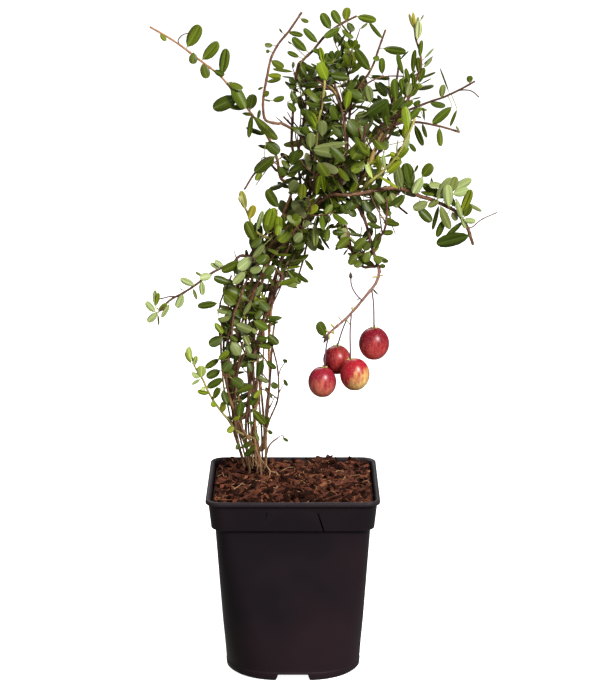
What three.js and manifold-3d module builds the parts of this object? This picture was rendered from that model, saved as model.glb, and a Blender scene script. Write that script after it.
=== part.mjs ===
// A cranberry plant in a square nursery pot, in millimetres, +Z up, origin under the middle of the pot.
// A bundle of thin trailing stems rises from the back left of the pot, arches over to the right and
// opens into a loose crown. Long leafy runners leave it on both sides, and one of them hangs down in
// front of the arch with four ripe berries.
import * as THREE from "three";
import { mergeVertices } from "three/addons/utils/BufferGeometryUtils.js";
import Module from "manifold-3d";

const wasm = await Module();
wasm.setup();

// Pot: the outer rim is square, the foot is round
const POT_HEIGHT = 100;
const RIM_HALF = 45;
const RIM_CORNER = 8;
const LIP_DEPTH = 2.2;
const LIP_SLOPE = 0.4;
const RIM_EASE = 0.6;
const RIM_INNER_HALF = 43.4;
const RIM_INNER_CORNER = 6.5;
const RIM_INNER_DROP = 0.8;
const COLLAR_TOP_HALF = 43.6;
const COLLAR_FOOT_HALF = 42.2;
const COLLAR_FOOT_Z = 84.2;
const BODY_TOP_HALF = 40.2;
const BODY_TOP_Z = 83;
const BODY_CORNER = 8;
const BODY_LEVELS = [26, 54];
const CORNER_FADE = 0.8;
const FOOT_CORNER = 28;
const FOOT_HALF = 35.4;
const FOOT_ROUNDING = 1.4;
const WALL = 1;
const FLOOR = 5;
const CHANNEL_HEIGHT = 3.6;
const CHANNEL_HALF_TOP = 7.8;
const CHANNEL_HALF_FOOT = 9.4;
const CENTRE_PAD = 13;
const DRAIN_RADIUS = 4;
const DRAIN_AT = 23;
const CORNER_STEPS = 4;

// Potting mix: a lumpy top, level where the stems stand
const CLEAR = 0.3;
const MIX_TOP = 95;
const MIX_LUMP = 1.8;
const MIX_SINK_SHARE = 0.6;
const MIX_EDGE_DROP = 1.2;
const MIX_SEED = 7;
const LEVEL_RADIUS = 15;
const LEVEL_FADE = 8;
const MIX_RINGS = [0.84, 0.62, 0.4, 0.2];

// Stems: eight lie round one spine, like the strands of a loose rope
const STEM_COUNT = 8;
const STEM_FOOT_RADIUS = 0.95;
const STEM_TIP_RADIUS = 0.6;
const ROOT_FLARE = 1.7;
const FLARE_SHARE = 0.05;
const STEM_SIDES = 5;
const STEM_STEPS = 13;
const BUNDLE_TWIST = 110;
const GOLDEN_ANGLE = 137.5;
const SPINE = [
  [-19, 22, 92],
  [-23, 22, 121],
  [-24, 22, 146],
  [-24, 21, 171],
  [-20, 20, 193],
  [-13, 19, 214],
  [-2, 18, 230],
  [10, 17, 242],
];
const BUNDLE_RADII = [6.5, 11, 14, 14, 13, 11, 9, 8];
const STEM_ENDS = [1, 1, 0.96, 0.88, 0.93, 1, 1, 0.76];

// Leafy twigs and leaves
const BOUGH_RADIUS = 0.75;
const BOUGH_TIP_RADIUS = 0.55;
const TWIG_RADIUS = 0.55;
const TWIG_TIP_RADIUS = 0.3;
const TWIG_SIDES = 3;
const STEP_LENGTH = 10;
const FIRST_STEP = 1.5;
const PARTING_PASSES = 60;
const PARTING_PUSH = 0.6;
const BARE_FOOT = 0.04;
const BARE_SHOOT = 0.25;
const SHOOT_LEAF = 0.9;
const SHOOT_RADIUS = 0.42;
const SHOOT_PLACES = [0.12, 0.82];
const SHOOT_PLACE_SPREAD = 0.06;
const SHOOT_TURN_SPREAD = 90;
const SHOOT_LENGTHS = [1.1, 1.9];
const SHOOT_OUTWARD = 0.75;
const SHOOT_FORWARD = 0.6;
const SHOOT_UPWARD = 0.25;
const LEAF_THICKNESS = 0.6;
const LEAF_GROWTH = 1.2;
const LEAF_WIDTH = 0.48;
const LEAF_TIP_WIDTH = 0.28;
const LEAF_WIDEST = 0.5;
const LEAF_THICKEST = 0.42;
const LEAF_SINK = 0.05;
const LEAF_SPACING = 7;
const LAST_LEAF = 0.97;
const LEAF_PLACE = 0.7;
const LEAF_TURN_SPREAD = 50;
const LEAF_LEANS = [62, 38];
const LEAF_LEAN_SPREAD = 24;
const LEAF_LENGTHS = [0.78, 1.08];
const LEAF_ROLL_SPREAD = 0.7;
const TUFT_FROM = 0.88;
const TUFT_LEAF = 0.72;
const LEAF_GAP = 0.15;
const LIMB_GAP = 0.6;
const FINEST_EDGE = 0.02;
const SEED = 600;

// Fruit
const BERRY_SIDES = 8;
const BERRY_LEVELS = 6;
const STALK_RADIUS = 0.35;
const STALK_SINK = 1;
const SAG_AT = 0.35;
const SAG_SIDEWAYS = 1;

const v = (x, y, z) => new THREE.Vector3(x, y, z);
const radians = THREE.MathUtils.degToRad;
const mix = THREE.MathUtils.lerp;

// A seeded stream of numbers from 0 to 1
function numbers(seed) {
  let state = seed >>> 0;
  return () => {
    state = (state + 0x6d2b79f5) >>> 0;
    let t = Math.imul(state ^ (state >>> 15), state | 1);
    t = (t + Math.imul(t ^ (t >>> 7), t | 61)) ^ t;
    return ((t ^ (t >>> 14)) >>> 0) / 4294967296;
  };
}

function solidOf(geometry) {
  const bare = geometry.clone();
  bare.deleteAttribute("normal");
  bare.deleteAttribute("uv");
  const merged = mergeVertices(bare, 1e-4);
  return new wasm.Manifold(
    new wasm.Mesh({
      numProp: 3,
      vertProperties: merged.attributes.position.array,
      triVerts: new Uint32Array(merged.index.array),
    }),
  );
}

function geometryOf(solid) {
  const mesh = solid.getMesh();
  const geometry = new THREE.BufferGeometry();
  geometry.setAttribute("position", new THREE.BufferAttribute(mesh.vertProperties, 3));
  geometry.setIndex(new THREE.BufferAttribute(mesh.triVerts, 1));
  geometry.computeVertexNormals();
  return geometry;
}

// The largest closed body of a solid: loose scraps, sealed hollows and hair-fine edges are dropped
function wholeBody(solid) {
  const bodies = solid.simplify(FINEST_EDGE).decompose();
  return bodies.reduce((best, body) => (body.volume() > best.volume() ? body : best));
}

const finishes = {
  pot: { color: 0x1b1a1c, roughness: 0.45, metalness: 0 },
  mix: { color: 0x3b2118, roughness: 0.95, metalness: 0 },
  bark: { color: 0x6e4a35, roughness: 0.8, metalness: 0 },
  leaf_dark: { color: 0x2c4a1e, roughness: 0.45, metalness: 0 },
  leaf_mid: { color: 0x45682a, roughness: 0.45, metalness: 0 },
  leaf_pale: { color: 0x8ea45a, roughness: 0.5, metalness: 0 },
  fruit: { color: 0xa3222c, roughness: 0.25, metalness: 0 },
};
const materials = {};
for (const [name, finish] of Object.entries(finishes)) {
  materials[name] = new THREE.MeshStandardMaterial(finish);
}

const plant = new THREE.Group();
function addNode(name, solid, finish) {
  const mesh = new THREE.Mesh(geometryOf(solid), materials[finish]);
  mesh.name = name;
  plant.add(mesh);
}

// A cylinder whose levels are stretched onto a stack of rings, from the lowest to the last
function loft(rings) {
  const sides = rings[0].length;
  const skin = new THREE.CylinderGeometry(1, 1, 1, sides, rings.length - 1);
  const position = skin.attributes.position;
  for (let i = 0; i < position.count; i++) {
    const [x, z] = [position.getX(i), position.getZ(i)];
    const ring = rings[Math.round((position.getY(i) + 0.5) * (rings.length - 1))];
    const corner = Math.round((Math.atan2(x, z) / (2 * Math.PI)) * sides);
    let point = ring[(corner + sides) % sides];
    if (Math.hypot(x, z) < 0.5) point = v(0, 0, point.z);
    position.setXYZ(i, point.x, point.y, point.z);
  }
  return skin;
}

// One level of the pot: a square with rounded corners, which is a circle where the corner fills it
function roundedSquare(half, corner, z) {
  const ring = [];
  for (let quarter = 0; quarter < 4; quarter++) {
    const middle = radians(45 + 90 * quarter);
    const centre = v(Math.cos(middle), Math.sin(middle), 0).multiplyScalar(Math.SQRT2 * (half - corner));
    for (let k = 0; k <= CORNER_STEPS; k++) {
      const angle = radians(90 * (quarter + k / CORNER_STEPS));
      ring.push(v(centre.x + corner * Math.cos(angle), centre.y + corner * Math.sin(angle), z));
    }
  }
  return ring;
}

// The body's half width and corner radius at a height: well rounded at the foot, nearly square at the collar
function bodyAt(z) {
  const rise = THREE.MathUtils.clamp(z / BODY_TOP_Z, 0, 1);
  const half = mix(FOOT_HALF, BODY_TOP_HALF, rise);
  const corner = mix(FOOT_CORNER, BODY_CORNER, Math.pow(rise, CORNER_FADE));
  return [half, corner];
}

function innerLevels(inset) {
  const levels = [];
  for (const z of [FLOOR + inset, ...BODY_LEVELS, COLLAR_FOOT_Z]) {
    const [half, corner] = bodyAt(z);
    levels.push([half - WALL - inset, corner - WALL - inset, z]);
  }
  levels.push([COLLAR_FOOT_HALF - WALL - inset, BODY_CORNER - WALL - inset, COLLAR_FOOT_Z + WALL]);
  return levels;
}

function makePot() {
  const rings = [];
  const ring = (half, corner, z) => rings.push(roundedSquare(half, corner, z));
  ring(FOOT_HALF - FOOT_ROUNDING, FOOT_CORNER - FOOT_ROUNDING, 0);
  for (const z of [FOOT_ROUNDING, ...BODY_LEVELS, BODY_TOP_Z]) {
    ring(...bodyAt(z), z);
  }
  const lipFoot = POT_HEIGHT - LIP_DEPTH;
  ring(COLLAR_FOOT_HALF, BODY_CORNER, COLLAR_FOOT_Z);
  ring(COLLAR_TOP_HALF, BODY_CORNER, lipFoot - LIP_SLOPE);
  ring(RIM_HALF, RIM_CORNER, lipFoot);
  ring(RIM_HALF, RIM_CORNER, POT_HEIGHT - RIM_EASE);
  ring(RIM_HALF - RIM_EASE, RIM_CORNER - RIM_EASE, POT_HEIGHT);
  ring(RIM_INNER_HALF, RIM_INNER_CORNER, POT_HEIGHT);
  ring(COLLAR_TOP_HALF - WALL, BODY_CORNER - WALL, POT_HEIGHT - RIM_INNER_DROP);
  for (const level of innerLevels(0).reverse()) {
    ring(...level);
  }
  let pot = solidOf(loft(rings));
  const profile = new THREE.Shape([
    new THREE.Vector2(-CHANNEL_HALF_FOOT, -1),
    new THREE.Vector2(CHANNEL_HALF_FOOT, -1),
    new THREE.Vector2(CHANNEL_HALF_TOP, CHANNEL_HEIGHT),
    new THREE.Vector2(-CHANNEL_HALF_TOP, CHANNEL_HEIGHT),
  ]);
  for (let side = 0; side < 4; side++) {
    const channel = new THREE.ExtrudeGeometry(profile, { depth: FOOT_HALF, bevelEnabled: false });
    channel.rotateX(Math.PI / 2).translate(0, -CENTRE_PAD, 0).rotateZ((side * Math.PI) / 2);
    const drain = new THREE.CylinderGeometry(DRAIN_RADIUS, DRAIN_RADIUS, 2 * FLOOR, 12);
    drain.rotateX(Math.PI / 2).translate(0, -DRAIN_AT, FLOOR).rotateZ((side * Math.PI) / 2);
    pot = pot.subtract(solidOf(channel)).subtract(solidOf(drain));
  }
  addNode("pot", wholeBody(pot), "pot");
}

function makePottingMix() {
  const draw = numbers(MIX_SEED);
  const rings = innerLevels(CLEAR).map((level) => roundedSquare(...level));
  const edgeHalf = COLLAR_FOOT_HALF - WALL - CLEAR;
  rings.push(roundedSquare(edgeHalf, BODY_CORNER - WALL - CLEAR, MIX_TOP - MIX_EDGE_DROP));
  const edge = rings[rings.length - 1];
  const foot = v(SPINE[0][0], SPINE[0][1], 0);
  for (const share of MIX_RINGS) {
    rings.push(
      edge.map((p) => {
        const point = v(p.x * share, p.y * share, 0);
        const apart = point.distanceTo(foot);
        const away = THREE.MathUtils.smoothstep(apart, LEVEL_RADIUS, LEVEL_RADIUS + LEVEL_FADE);
        point.z = MIX_TOP + MIX_LUMP * (draw() - MIX_SINK_SHARE) * away;
        return point;
      }),
    );
  }
  addNode("potting_mix", solidOf(loft(rings)), "mix");
}

// A limb is a tapering tube round straight stretches, a few millimetres each, that follow a smooth curve
class Limb {
  constructor(points, foot, tip) {
    this.points = points;
    this.foot = foot;
    this.tip = tip;
  }

  widthAt(t) {
    return mix(this.foot, this.tip, t);
  }

  at(t) {
    const place = t * (this.points.length - 1);
    const k = Math.min(Math.floor(place), this.points.length - 2);
    return this.points[k].clone().lerp(this.points[k + 1], place - k);
  }

  along(t) {
    const reach = 0.5 / (this.points.length - 1);
    const [before, after] = [Math.max(0, t - reach), Math.min(1, t + reach)];
    return this.at(after).sub(this.at(before)).normalize();
  }

  length() {
    return this.points.slice(1).reduce((sum, p, k) => sum + p.distanceTo(this.points[k]), 0);
  }

  // A cylinder whose rings are moved to the points, each turned no more than the bend asks for
  solid(sides, flareAt = () => 1) {
    const steps = this.points.length - 1;
    const tube = new THREE.CylinderGeometry(1, 1, 1, sides, steps);
    const frames = [];
    let normal = Math.abs(this.along(0).z) > 0.9 ? v(1, 0, 0) : v(0, 0, 1);
    for (let k = 0; k <= steps; k++) {
      const along = this.along(k / steps);
      normal = normal.clone().addScaledVector(along, -normal.dot(along)).normalize();
      frames.push([along.clone().cross(normal), normal]);
    }
    const position = tube.attributes.position;
    for (let i = 0; i < position.count; i++) {
      const k = Math.round((position.getY(i) + 0.5) * steps);
      const width = this.widthAt(k / steps) * flareAt(k / steps);
      const point = this.points[k].clone().addScaledVector(frames[k][1], position.getX(i) * width);
      point.addScaledVector(frames[k][0], -position.getZ(i) * width);
      position.setXYZ(i, point.x, point.y, point.z);
    }
    return solidOf(tube);
  }
}

const smooth = (points) => new THREE.CatmullRomCurve3(points, false, "catmullrom", 0.5);

// Every stretch of the limbs laid so far
const stretches = [];
const limbs = {};
function layLimb(name, points, foot, tip, fixed) {
  partFromOthers(points, foot, fixed);
  const limb = new Limb(points, foot, tip);
  for (let k = 1; k < points.length; k++) {
    const radius = limb.widthAt((k - 1) / (points.length - 1));
    stretches.push({ line: new THREE.Line3(points[k - 1], points[k]), radius });
  }
  limbs[name] = limb;
  return limb;
}

// A limb that would cross others is pushed clear of them, stretch by stretch, past its fixed points
function partFromOthers(points, radius, fixed) {
  const [mine, theirs] = [v(0, 0, 0), v(0, 0, 0)];
  for (let pass = 0; pass < PARTING_PASSES; pass++) {
    for (let k = fixed; k < points.length; k++) {
      const stretch = new THREE.Line3(points[k - 1], points[k]);
      for (const other of stretches) {
        const wanted = radius + other.radius + LIMB_GAP;
        const gap = Math.sqrt(stretch.distanceSqToLine3(other.line, mine, theirs));
        if (gap >= wanted) continue;
        const push = gap > 0.01 ? mine.clone().sub(theirs) : v(0, -1, 0);
        push.setLength((wanted - gap) * PARTING_PUSH);
        points[k].add(push);
        if (k > fixed) points[k - 1].add(push);
      }
    }
  }
}

// Where a limb leaves its parent: just off its tip, or off its side towards the first point it makes for
function departure(parent, t, towards) {
  const start = parent.at(t);
  const along = parent.along(t);
  if (t === 1) {
    const first = start.addScaledVector(along, CLEAR);
    return [first, first.clone().addScaledVector(along, FIRST_STEP)];
  }
  const side = towards.clone().sub(start);
  side.addScaledVector(along, -side.dot(along)).normalize();
  const first = start.addScaledVector(side, parent.widthAt(t) + CLEAR);
  return [first, first.clone().addScaledVector(side, FIRST_STEP)];
}

// A limb from its parent through the points that it makes for, with a ring every few millimetres
function branch(name, from, t, through, foot, tip) {
  const aims = through.map((p) => v(...p));
  const [first, second] = departure(limbs[from], t, aims[0]);
  const curve = smooth([second, ...aims]);
  const rest = curve.getSpacedPoints(Math.max(2, Math.round(curve.getLength() / STEP_LENGTH)));
  return layLimb(name, [first, ...rest], foot, tip, 2);
}

// A place in the bundle: how far up the spine, how far out from it, and round which way
function inBundle(t, share, degrees) {
  const spine = smooth(SPINE.map((p) => v(...p)));
  const along = spine.getTangent(t);
  const right = v(0, 1, 0).cross(along).normalize();
  const back = along.clone().cross(right);
  const place = Math.min(t, 0.999) * (BUNDLE_RADII.length - 1);
  const k = Math.floor(place);
  const out = share * mix(BUNDLE_RADII[k], BUNDLE_RADII[k + 1], place - k);
  const turn = radians(degrees + BUNDLE_TWIST * t);
  const point = spine.getPoint(t).addScaledVector(right, out * Math.cos(turn));
  return point.addScaledVector(back, out * Math.sin(turn));
}

// Stems lie in the bundle like seeds in a sunflower, and each has a small flare at its foot
function makeStems() {
  const flareAt = (t) => 1 + (ROOT_FLARE - 1) * Math.max(0, 1 - t / FLARE_SHARE);
  for (let i = 0; i < STEM_COUNT; i++) {
    const share = Math.sqrt((i + 0.5) / STEM_COUNT);
    const points = [];
    for (let k = 0; k <= STEM_STEPS; k++) {
      points.push(inBundle((STEM_ENDS[i] * k) / STEM_STEPS, share, i * GOLDEN_ANGLE));
    }
    const name = `stem_${i + 1}`;
    const stem = layLimb(name, points, STEM_FOOT_RADIUS, STEM_TIP_RADIUS, 2);
    const standing = stem.solid(STEM_SIDES, flareAt).trimByPlane([0, 0, 1], MIX_TOP + CLEAR);
    addStanding(name, standing, "bark");
  }
}

// Solids placed so far, which later twigs and leaves must not touch
const placed = [];
function addPlaced(owner, solid) {
  const { min, max } = solid.boundingBox();
  placed.push({ owner, solid, box: new THREE.Box3(v(...min), v(...max)) });
}

function addStanding(name, solid, finish) {
  const body = wholeBody(solid);
  addPlaced(name, body);
  addNode(name, body, finish);
}

function touches(solid, owner, roots) {
  const { min, max } = solid.boundingBox();
  const box = new THREE.Box3(v(...min), v(...max)).expandByScalar(LEAF_GAP);
  return placed.some((item) => {
    if (item.owner === owner && roots.includes(item.solid)) return false;
    return box.intersectsBox(item.box) && item.solid.minGap(solid, 1) < LEAF_GAP;
  });
}

// Boughs: each goes on from a stem's tip, or from the side of another bough, through its points
const BOUGHS = [
  {
    name: "bough_arm_right", from: "stem_1", at: 1,
    through: [[18, 12, 247], [28, 8, 250], [37, 6, 254]],
  },
  {
    name: "bough_rise_centre", from: "stem_2", at: 1,
    through: [[21, 19, 253], [28, 20, 268], [27, 18, 293]],
  },
  {
    name: "bough_loop", from: "stem_3", at: 1,
    through: [[9, 12, 261], [9, 8, 276], [-2, 2, 287], [-15, 0, 292]],
  },
  {
    name: "bough_left_upper", from: "stem_4", at: 1,
    through: [[-6, 24, 255], [-10, 21, 273], [-21, 14, 294]],
  },
  {
    name: "bough_crown_left", from: "stem_5", at: 1,
    through: [[4, 27, 256], [0, 28, 272], [-1, 24, 289]],
  },
  {
    name: "bough_crown_back", from: "stem_6", at: 1,
    through: [[17, 30, 252], [24, 42, 266], [26, 46, 282]],
  },
  {
    name: "bough_back_right", from: "stem_7", at: 1,
    through: [[22, 25, 250], [36, 34, 258], [47, 38, 270]],
  },
  {
    name: "bough_rise_right", from: "bough_arm_right", at: 0.9,
    through: [[37, 3, 262], [41, 2, 272], [46, 6, 283]],
  },
  {
    name: "bough_hang", from: "bough_arm_right", at: 0.82,
    through: [[37, -1, 240], [41, -6, 225], [45, -8, 213]],
  },
];

function makeBoughs() {
  for (const { name, from, at, through } of BOUGHS) {
    const bough = branch(name, from, at, through, BOUGH_RADIUS, BOUGH_TIP_RADIUS);
    addStanding(name, bough.solid(STEM_SIDES), "bark");
  }
}

// Sprays: one twig each, with leaves in a spiral and a few side shoots. "size" is the length of a full leaf
const SPRAYS = [
  {
    name: "spray_arm_right", from: "bough_arm_right", at: 1, size: 12.5, forks: 4, finish: "leaf_mid",
    through: [[56, 4, 255], [69, 2, 252], [82, 0, 246], [90, -2, 239], [94, -4, 227]],
  },
  {
    name: "spray_right_upper", from: "bough_rise_right", at: 1, size: 11.5, forks: 1, finish: "leaf_mid",
    through: [[58, 4, 293], [73, 0, 301], [93, -4, 312]],
  },
  {
    name: "spray_right_middle", from: "bough_rise_right", at: 0.86, size: 11, forks: 0, finish: "leaf_mid",
    through: [[57, 12, 287], [70, 15, 288], [88, 16, 283]],
  },
  {
    name: "spray_centre", from: "bough_rise_centre", at: 1, size: 11, forks: 3, finish: "leaf_dark",
    through: [[23, 20, 301], [17, 24, 306], [8, 28, 310]],
  },
  {
    name: "spray_top_right", from: "bough_rise_centre", at: 0.93, size: 12.5, forks: 2, finish: "leaf_mid",
    through: [[34, 16, 304], [40, 12, 317], [48, 12, 337]],
  },
  {
    name: "spray_crown_top", from: "bough_rise_centre", at: 0.8, size: 11, forks: 4, finish: "leaf_dark",
    through: [[30, 26, 300], [28, 29, 318], [30, 26, 334]],
  },
  {
    name: "spray_leader", from: "bough_loop", at: 0.42, size: 11, forks: 2, finish: "leaf_pale",
    through: [[13, 0, 289], [16, -3, 305], [16, -3, 320]],
  },
  {
    name: "spray_loop", from: "bough_loop", at: 1, size: 8.5, forks: 0, finish: "leaf_mid",
    through: [[-15, -2, 305], [-13, -3, 319], [6, 0, 345]],
  },
  {
    name: "spray_left_runner", from: "bough_left_upper", at: 1, size: 11, forks: 0, finish: "leaf_dark",
    through: [[-27, 12, 304], [-51, 6, 326], [-72, 2, 339]],
  },
  {
    name: "spray_small_left", from: "bough_left_upper", at: 0.5, size: 10, forks: 0, finish: "leaf_dark",
    through: [[-14, 13, 267], [-19, 9, 263], [-25, 7, 254]],
  },
  {
    name: "spray_top_left", from: "bough_crown_left", at: 1, size: 11, forks: 1, finish: "leaf_mid",
    through: [[-3, 21, 304], [4, 16, 318], [32, 8, 343]],
  },
  {
    name: "spray_crown_left", from: "bough_crown_left", at: 0.72, size: 10, forks: 4, finish: "leaf_dark",
    through: [[6, 22, 290], [7, 16, 303], [6, 14, 314]],
  },
  {
    name: "spray_crown_low", from: "bough_crown_left", at: 0.36, size: 11, forks: 3, finish: "leaf_dark",
    through: [[10, 30, 266], [16, 33, 276], [19, 33, 290]],
  },
  {
    name: "spray_back_top", from: "bough_crown_back", at: 1, size: 11, forks: 3, finish: "leaf_dark",
    through: [[25, 48, 294], [21, 47, 308], [19, 43, 320]],
  },
  {
    name: "spray_back_left", from: "bough_crown_back", at: 0.6, size: 11, forks: 3, finish: "leaf_mid",
    through: [[15, 47, 268], [5, 51, 276], [-5, 52, 286]],
  },
  {
    name: "spray_back_right", from: "bough_back_right", at: 1, size: 11, forks: 3, finish: "leaf_mid",
    through: [[53, 39, 281], [57, 36, 294], [62, 32, 305]],
  },
  {
    name: "spray_upright", from: "bough_rise_right", at: 0.62, size: 13, forks: 2, finish: "leaf_mid",
    through: [[48, 12, 288], [53, 14, 306], [55, 14, 322]],
  },
  {
    name: "spray_pale_tip", from: "bough_rise_right", at: 0.75, size: 10, forks: 1, finish: "leaf_mid",
    through: [[52, -2, 287], [59, -5, 301], [63, -4, 330], [63, -2, 344]],
  },
  {
    name: "spray_yellow_right", from: "bough_rise_right", at: 0.2, size: 11, forks: 1, finish: "leaf_pale",
    through: [[47, -6, 266], [55, -11, 277], [62, -12, 293]],
  },
  {
    name: "spray_front", from: "bough_rise_right", at: 0.4, size: 12, forks: 3, finish: "leaf_mid",
    through: [[38, -7, 270], [36, -12, 279], [37, -14, 290]],
  },
  {
    name: "spray_centre_front", from: "bough_loop", at: 0.25, size: 13.5, forks: 2, finish: "leaf_mid",
    through: [[12, 2, 262], [19, -5, 270], [25, -7, 279]],
  },
  {
    name: "spray_centre_low", from: "bough_arm_right", at: 0.45, size: 11.5, forks: 2, finish: "leaf_dark",
    through: [[25, 1, 256], [22, -4, 264], [14, -6, 270]],
  },
  {
    name: "spray_arm_under", from: "bough_arm_right", at: 0.3, size: 11, forks: 2, finish: "leaf_mid",
    through: [[24, 6, 240], [28, 1, 234], [29, -1, 226]],
  },
  {
    name: "spray_arm_back", from: "bough_arm_right", at: 0.6, size: 11.5, forks: 3, finish: "leaf_dark",
    through: [[38, 15, 250], [49, 19, 247], [60, 20, 239]],
  },
  {
    name: "spray_hang_left", from: "bough_hang", at: 0.93, size: 10, forks: 2, finish: "leaf_mid",
    through: [[38, -3, 213], [31, 2, 221], [29, 5, 232]],
  },
  {
    name: "spray_hang_right", from: "bough_hang", at: 0.7, size: 11, forks: 1, finish: "leaf_dark",
    through: [[46, -9, 232], [48, -11, 243], [48, -10, 252]],
  },
  {
    name: "spray_under_arch", from: "stem_7", at: 0.92, size: 12, forks: 2, finish: "leaf_dark",
    through: [[9, 24, 224], [6, 23, 216], [3, 21, 206]],
  },
  {
    name: "spray_mid_left", from: "stem_8", at: 1, size: 10, forks: 2, finish: "leaf_pale",
    through: [[-24, 9, 217], [-35, 5, 213], [-56, 0, 201], [-74, -5, 188]],
  },
  {
    name: "spray_low_left", from: "stem_3", at: 0.13, size: 8.5, forks: 0, finish: "leaf_pale",
    through: [[-32, 8, 129], [-40, 3, 141], [-50, 0, 160], [-55, 0, 170]],
  },
  {
    name: "spray_left_tip", from: "stem_4", at: 0.9, size: 10, forks: 1, finish: "leaf_pale",
    through: [[-18, 12, 232], [-22, 9, 241], [-25, 8, 251]],
  },
  {
    name: "spray_knee_front", from: "stem_2", at: 0.85, size: 10.5, forks: 2, finish: "leaf_pale",
    through: [[-7, 6, 231], [-10, 3, 239], [-13, 2, 246]],
  },
  {
    name: "spray_knee_right", from: "stem_1", at: 0.86, size: 12, forks: 2, finish: "leaf_mid",
    through: [[3, 8, 236], [9, 2, 242], [8, -3, 251]],
  },
];

// Shoots that climb inside and round the bundle, in two tiers
const BUNDLE_FOOT_SHARE = 0.9;
const BUNDLE_OUT_SHARE = 1.12;
const BUNDLE_STEPS = [0.12, 0.45, 0.75, 1];
const BUNDLE_LEAF = 11;
const BUNDLE_FORKS = 2;
const BUNDLE_SHOOTS = [
  { angle: 210, from: 0.1, to: 0.44 },
  { angle: 300, from: 0.16, to: 0.52 },
  { angle: 30, from: 0.08, to: 0.42 },
  { angle: 120, from: 0.14, to: 0.5 },
  { angle: 250, from: 0.42, to: 0.76 },
  { angle: 70, from: 0.44, to: 0.78 },
];

function bundleShoots() {
  return BUNDLE_SHOOTS.map(({ angle, from, to }, i) => {
    const foot = inBundle(from, BUNDLE_FOOT_SHARE, angle);
    const rise = BUNDLE_STEPS.map((t) => inBundle(mix(from, to, t), BUNDLE_OUT_SHARE, angle));
    return {
      name: `spray_bundle_${i + 1}`,
      ...nearestOnStem(foot),
      through: rise.map((p) => p.toArray()),
      size: BUNDLE_LEAF,
      forks: BUNDLE_FORKS,
      finish: i % 3 === 1 ? "leaf_mid" : "leaf_dark",
    };
  });
}

function nearestOnStem(point) {
  let best = { gap: Infinity };
  for (const [name, stem] of Object.entries(limbs)) {
    for (let t = 0; t < 1 && name.startsWith("stem_"); t += 0.01) {
      const gap = stem.at(t).distanceTo(point);
      if (gap < best.gap) best = { gap, from: name, at: t };
    }
  }
  return best;
}

// A leaf: a thin blade with five corners, pointed at its root, widest at the middle and blunt at its tip
function leafSolid(root, along, across, length) {
  const blade = new THREE.SphereGeometry(1, 5, 2);
  const position = blade.attributes.position;
  const face = across.clone().cross(along).normalize();
  for (let i = 0; i < position.count; i++) {
    const [x, y, z] = [position.getX(i), position.getY(i), position.getZ(i)];
    let [reach, width] = [1, LEAF_TIP_WIDTH];
    if (x < 0.5) [reach, width] = [LEAF_WIDEST, LEAF_WIDTH];
    if (x < -0.5) [reach, width] = [0, 0];
    if (Math.abs(y) > 0.5) [reach, width] = [LEAF_THICKEST, 0];
    const point = root.clone().addScaledVector(along, reach * length);
    point.addScaledVector(across, (Math.sign(z) * width * length) / 2);
    point.addScaledVector(face, (y * LEAF_THICKNESS) / 2);
    position.setXYZ(i, point.x, point.y, point.z);
  }
  return solidOf(blade);
}

// Leaves stand round a twig in a spiral, each leaning forward, with a tuft at the tip
function leavesAlong(twig, size, draw, bare) {
  const leaves = [];
  const count = Math.max(2, Math.round((twig.length() * (1 - bare)) / LEAF_SPACING));
  let normal = Math.abs(twig.along(0).z) > 0.9 ? v(1, 0, 0) : v(0, 0, 1);
  for (let i = 0; i < count; i++) {
    const t = Math.min(LAST_LEAF, bare + ((1 - bare) * (i + LEAF_PLACE)) / count);
    const along = twig.along(t);
    normal.addScaledVector(along, -normal.dot(along)).normalize();
    const turn = radians(i * GOLDEN_ANGLE + LEAF_TURN_SPREAD * (draw() - 0.5));
    const lean = radians(mix(...LEAF_LEANS, t) + LEAF_LEAN_SPREAD * (draw() - 0.5));
    const length = LEAF_GROWTH * size * mix(...LEAF_LENGTHS, draw()) * (t > TUFT_FROM ? TUFT_LEAF : 1);
    const roll = LEAF_ROLL_SPREAD * (draw() - 0.5);
    const out = normal.clone().applyAxisAngle(along, turn);
    const reach = along.clone().multiplyScalar(Math.cos(lean)).addScaledVector(out, Math.sin(lean));
    const across = along.clone().cross(out).applyAxisAngle(reach, roll).normalize();
    leaves.push(leafSolid(twig.at(t).addScaledVector(reach, -LEAF_SINK), reach, across, length));
  }
  return leaves;
}

// Side shoots fan out from a twig, short, straight and tilted a little upwards
function sideShoots(twig, count, size, draw) {
  const shoots = [];
  for (let i = 0; i < count; i++) {
    const t = mix(...SHOOT_PLACES, (i + 0.5) / count) + SHOOT_PLACE_SPREAD * (draw() - 0.5);
    const along = twig.along(t);
    const start = twig.at(t);
    const out = v(0, 0, 1).cross(along);
    if (out.length() < 0.2) out.set(1, 0, 0);
    out.normalize().applyAxisAngle(along, radians(i * GOLDEN_ANGLE + SHOOT_TURN_SPREAD * draw()));
    const length = size * mix(...SHOOT_LENGTHS, draw());
    const bend = out.clone().multiplyScalar(SHOOT_OUTWARD).addScaledVector(along, SHOOT_FORWARD);
    bend.z += SHOOT_UPWARD;
    const tip = start.clone().addScaledVector(bend.normalize(), length);
    shoots.push(new Limb([start, tip], SHOOT_RADIUS, TWIG_TIP_RADIUS));
  }
  return shoots;
}

// The berries hang on thin stalks from the end of the fruiting runner
const RUNNER = [[45, -9, 207], [40, -11, 202], [33, -12, 195], [25, -13, 188], [16, -14, 178]];
const BERRIES = [
  { centre: [42, -11, 176], half: [7.5, 8.3], at: 0.34 },
  { centre: [23, -5, 167], half: [6.9, 7.4], at: 0.68 },
  { centre: [15, -14, 157], half: [7, 7.8], at: 0.93 },
  { centre: [32, -17, 161], half: [7.3, 8.2], at: 0.62 },
];

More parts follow.
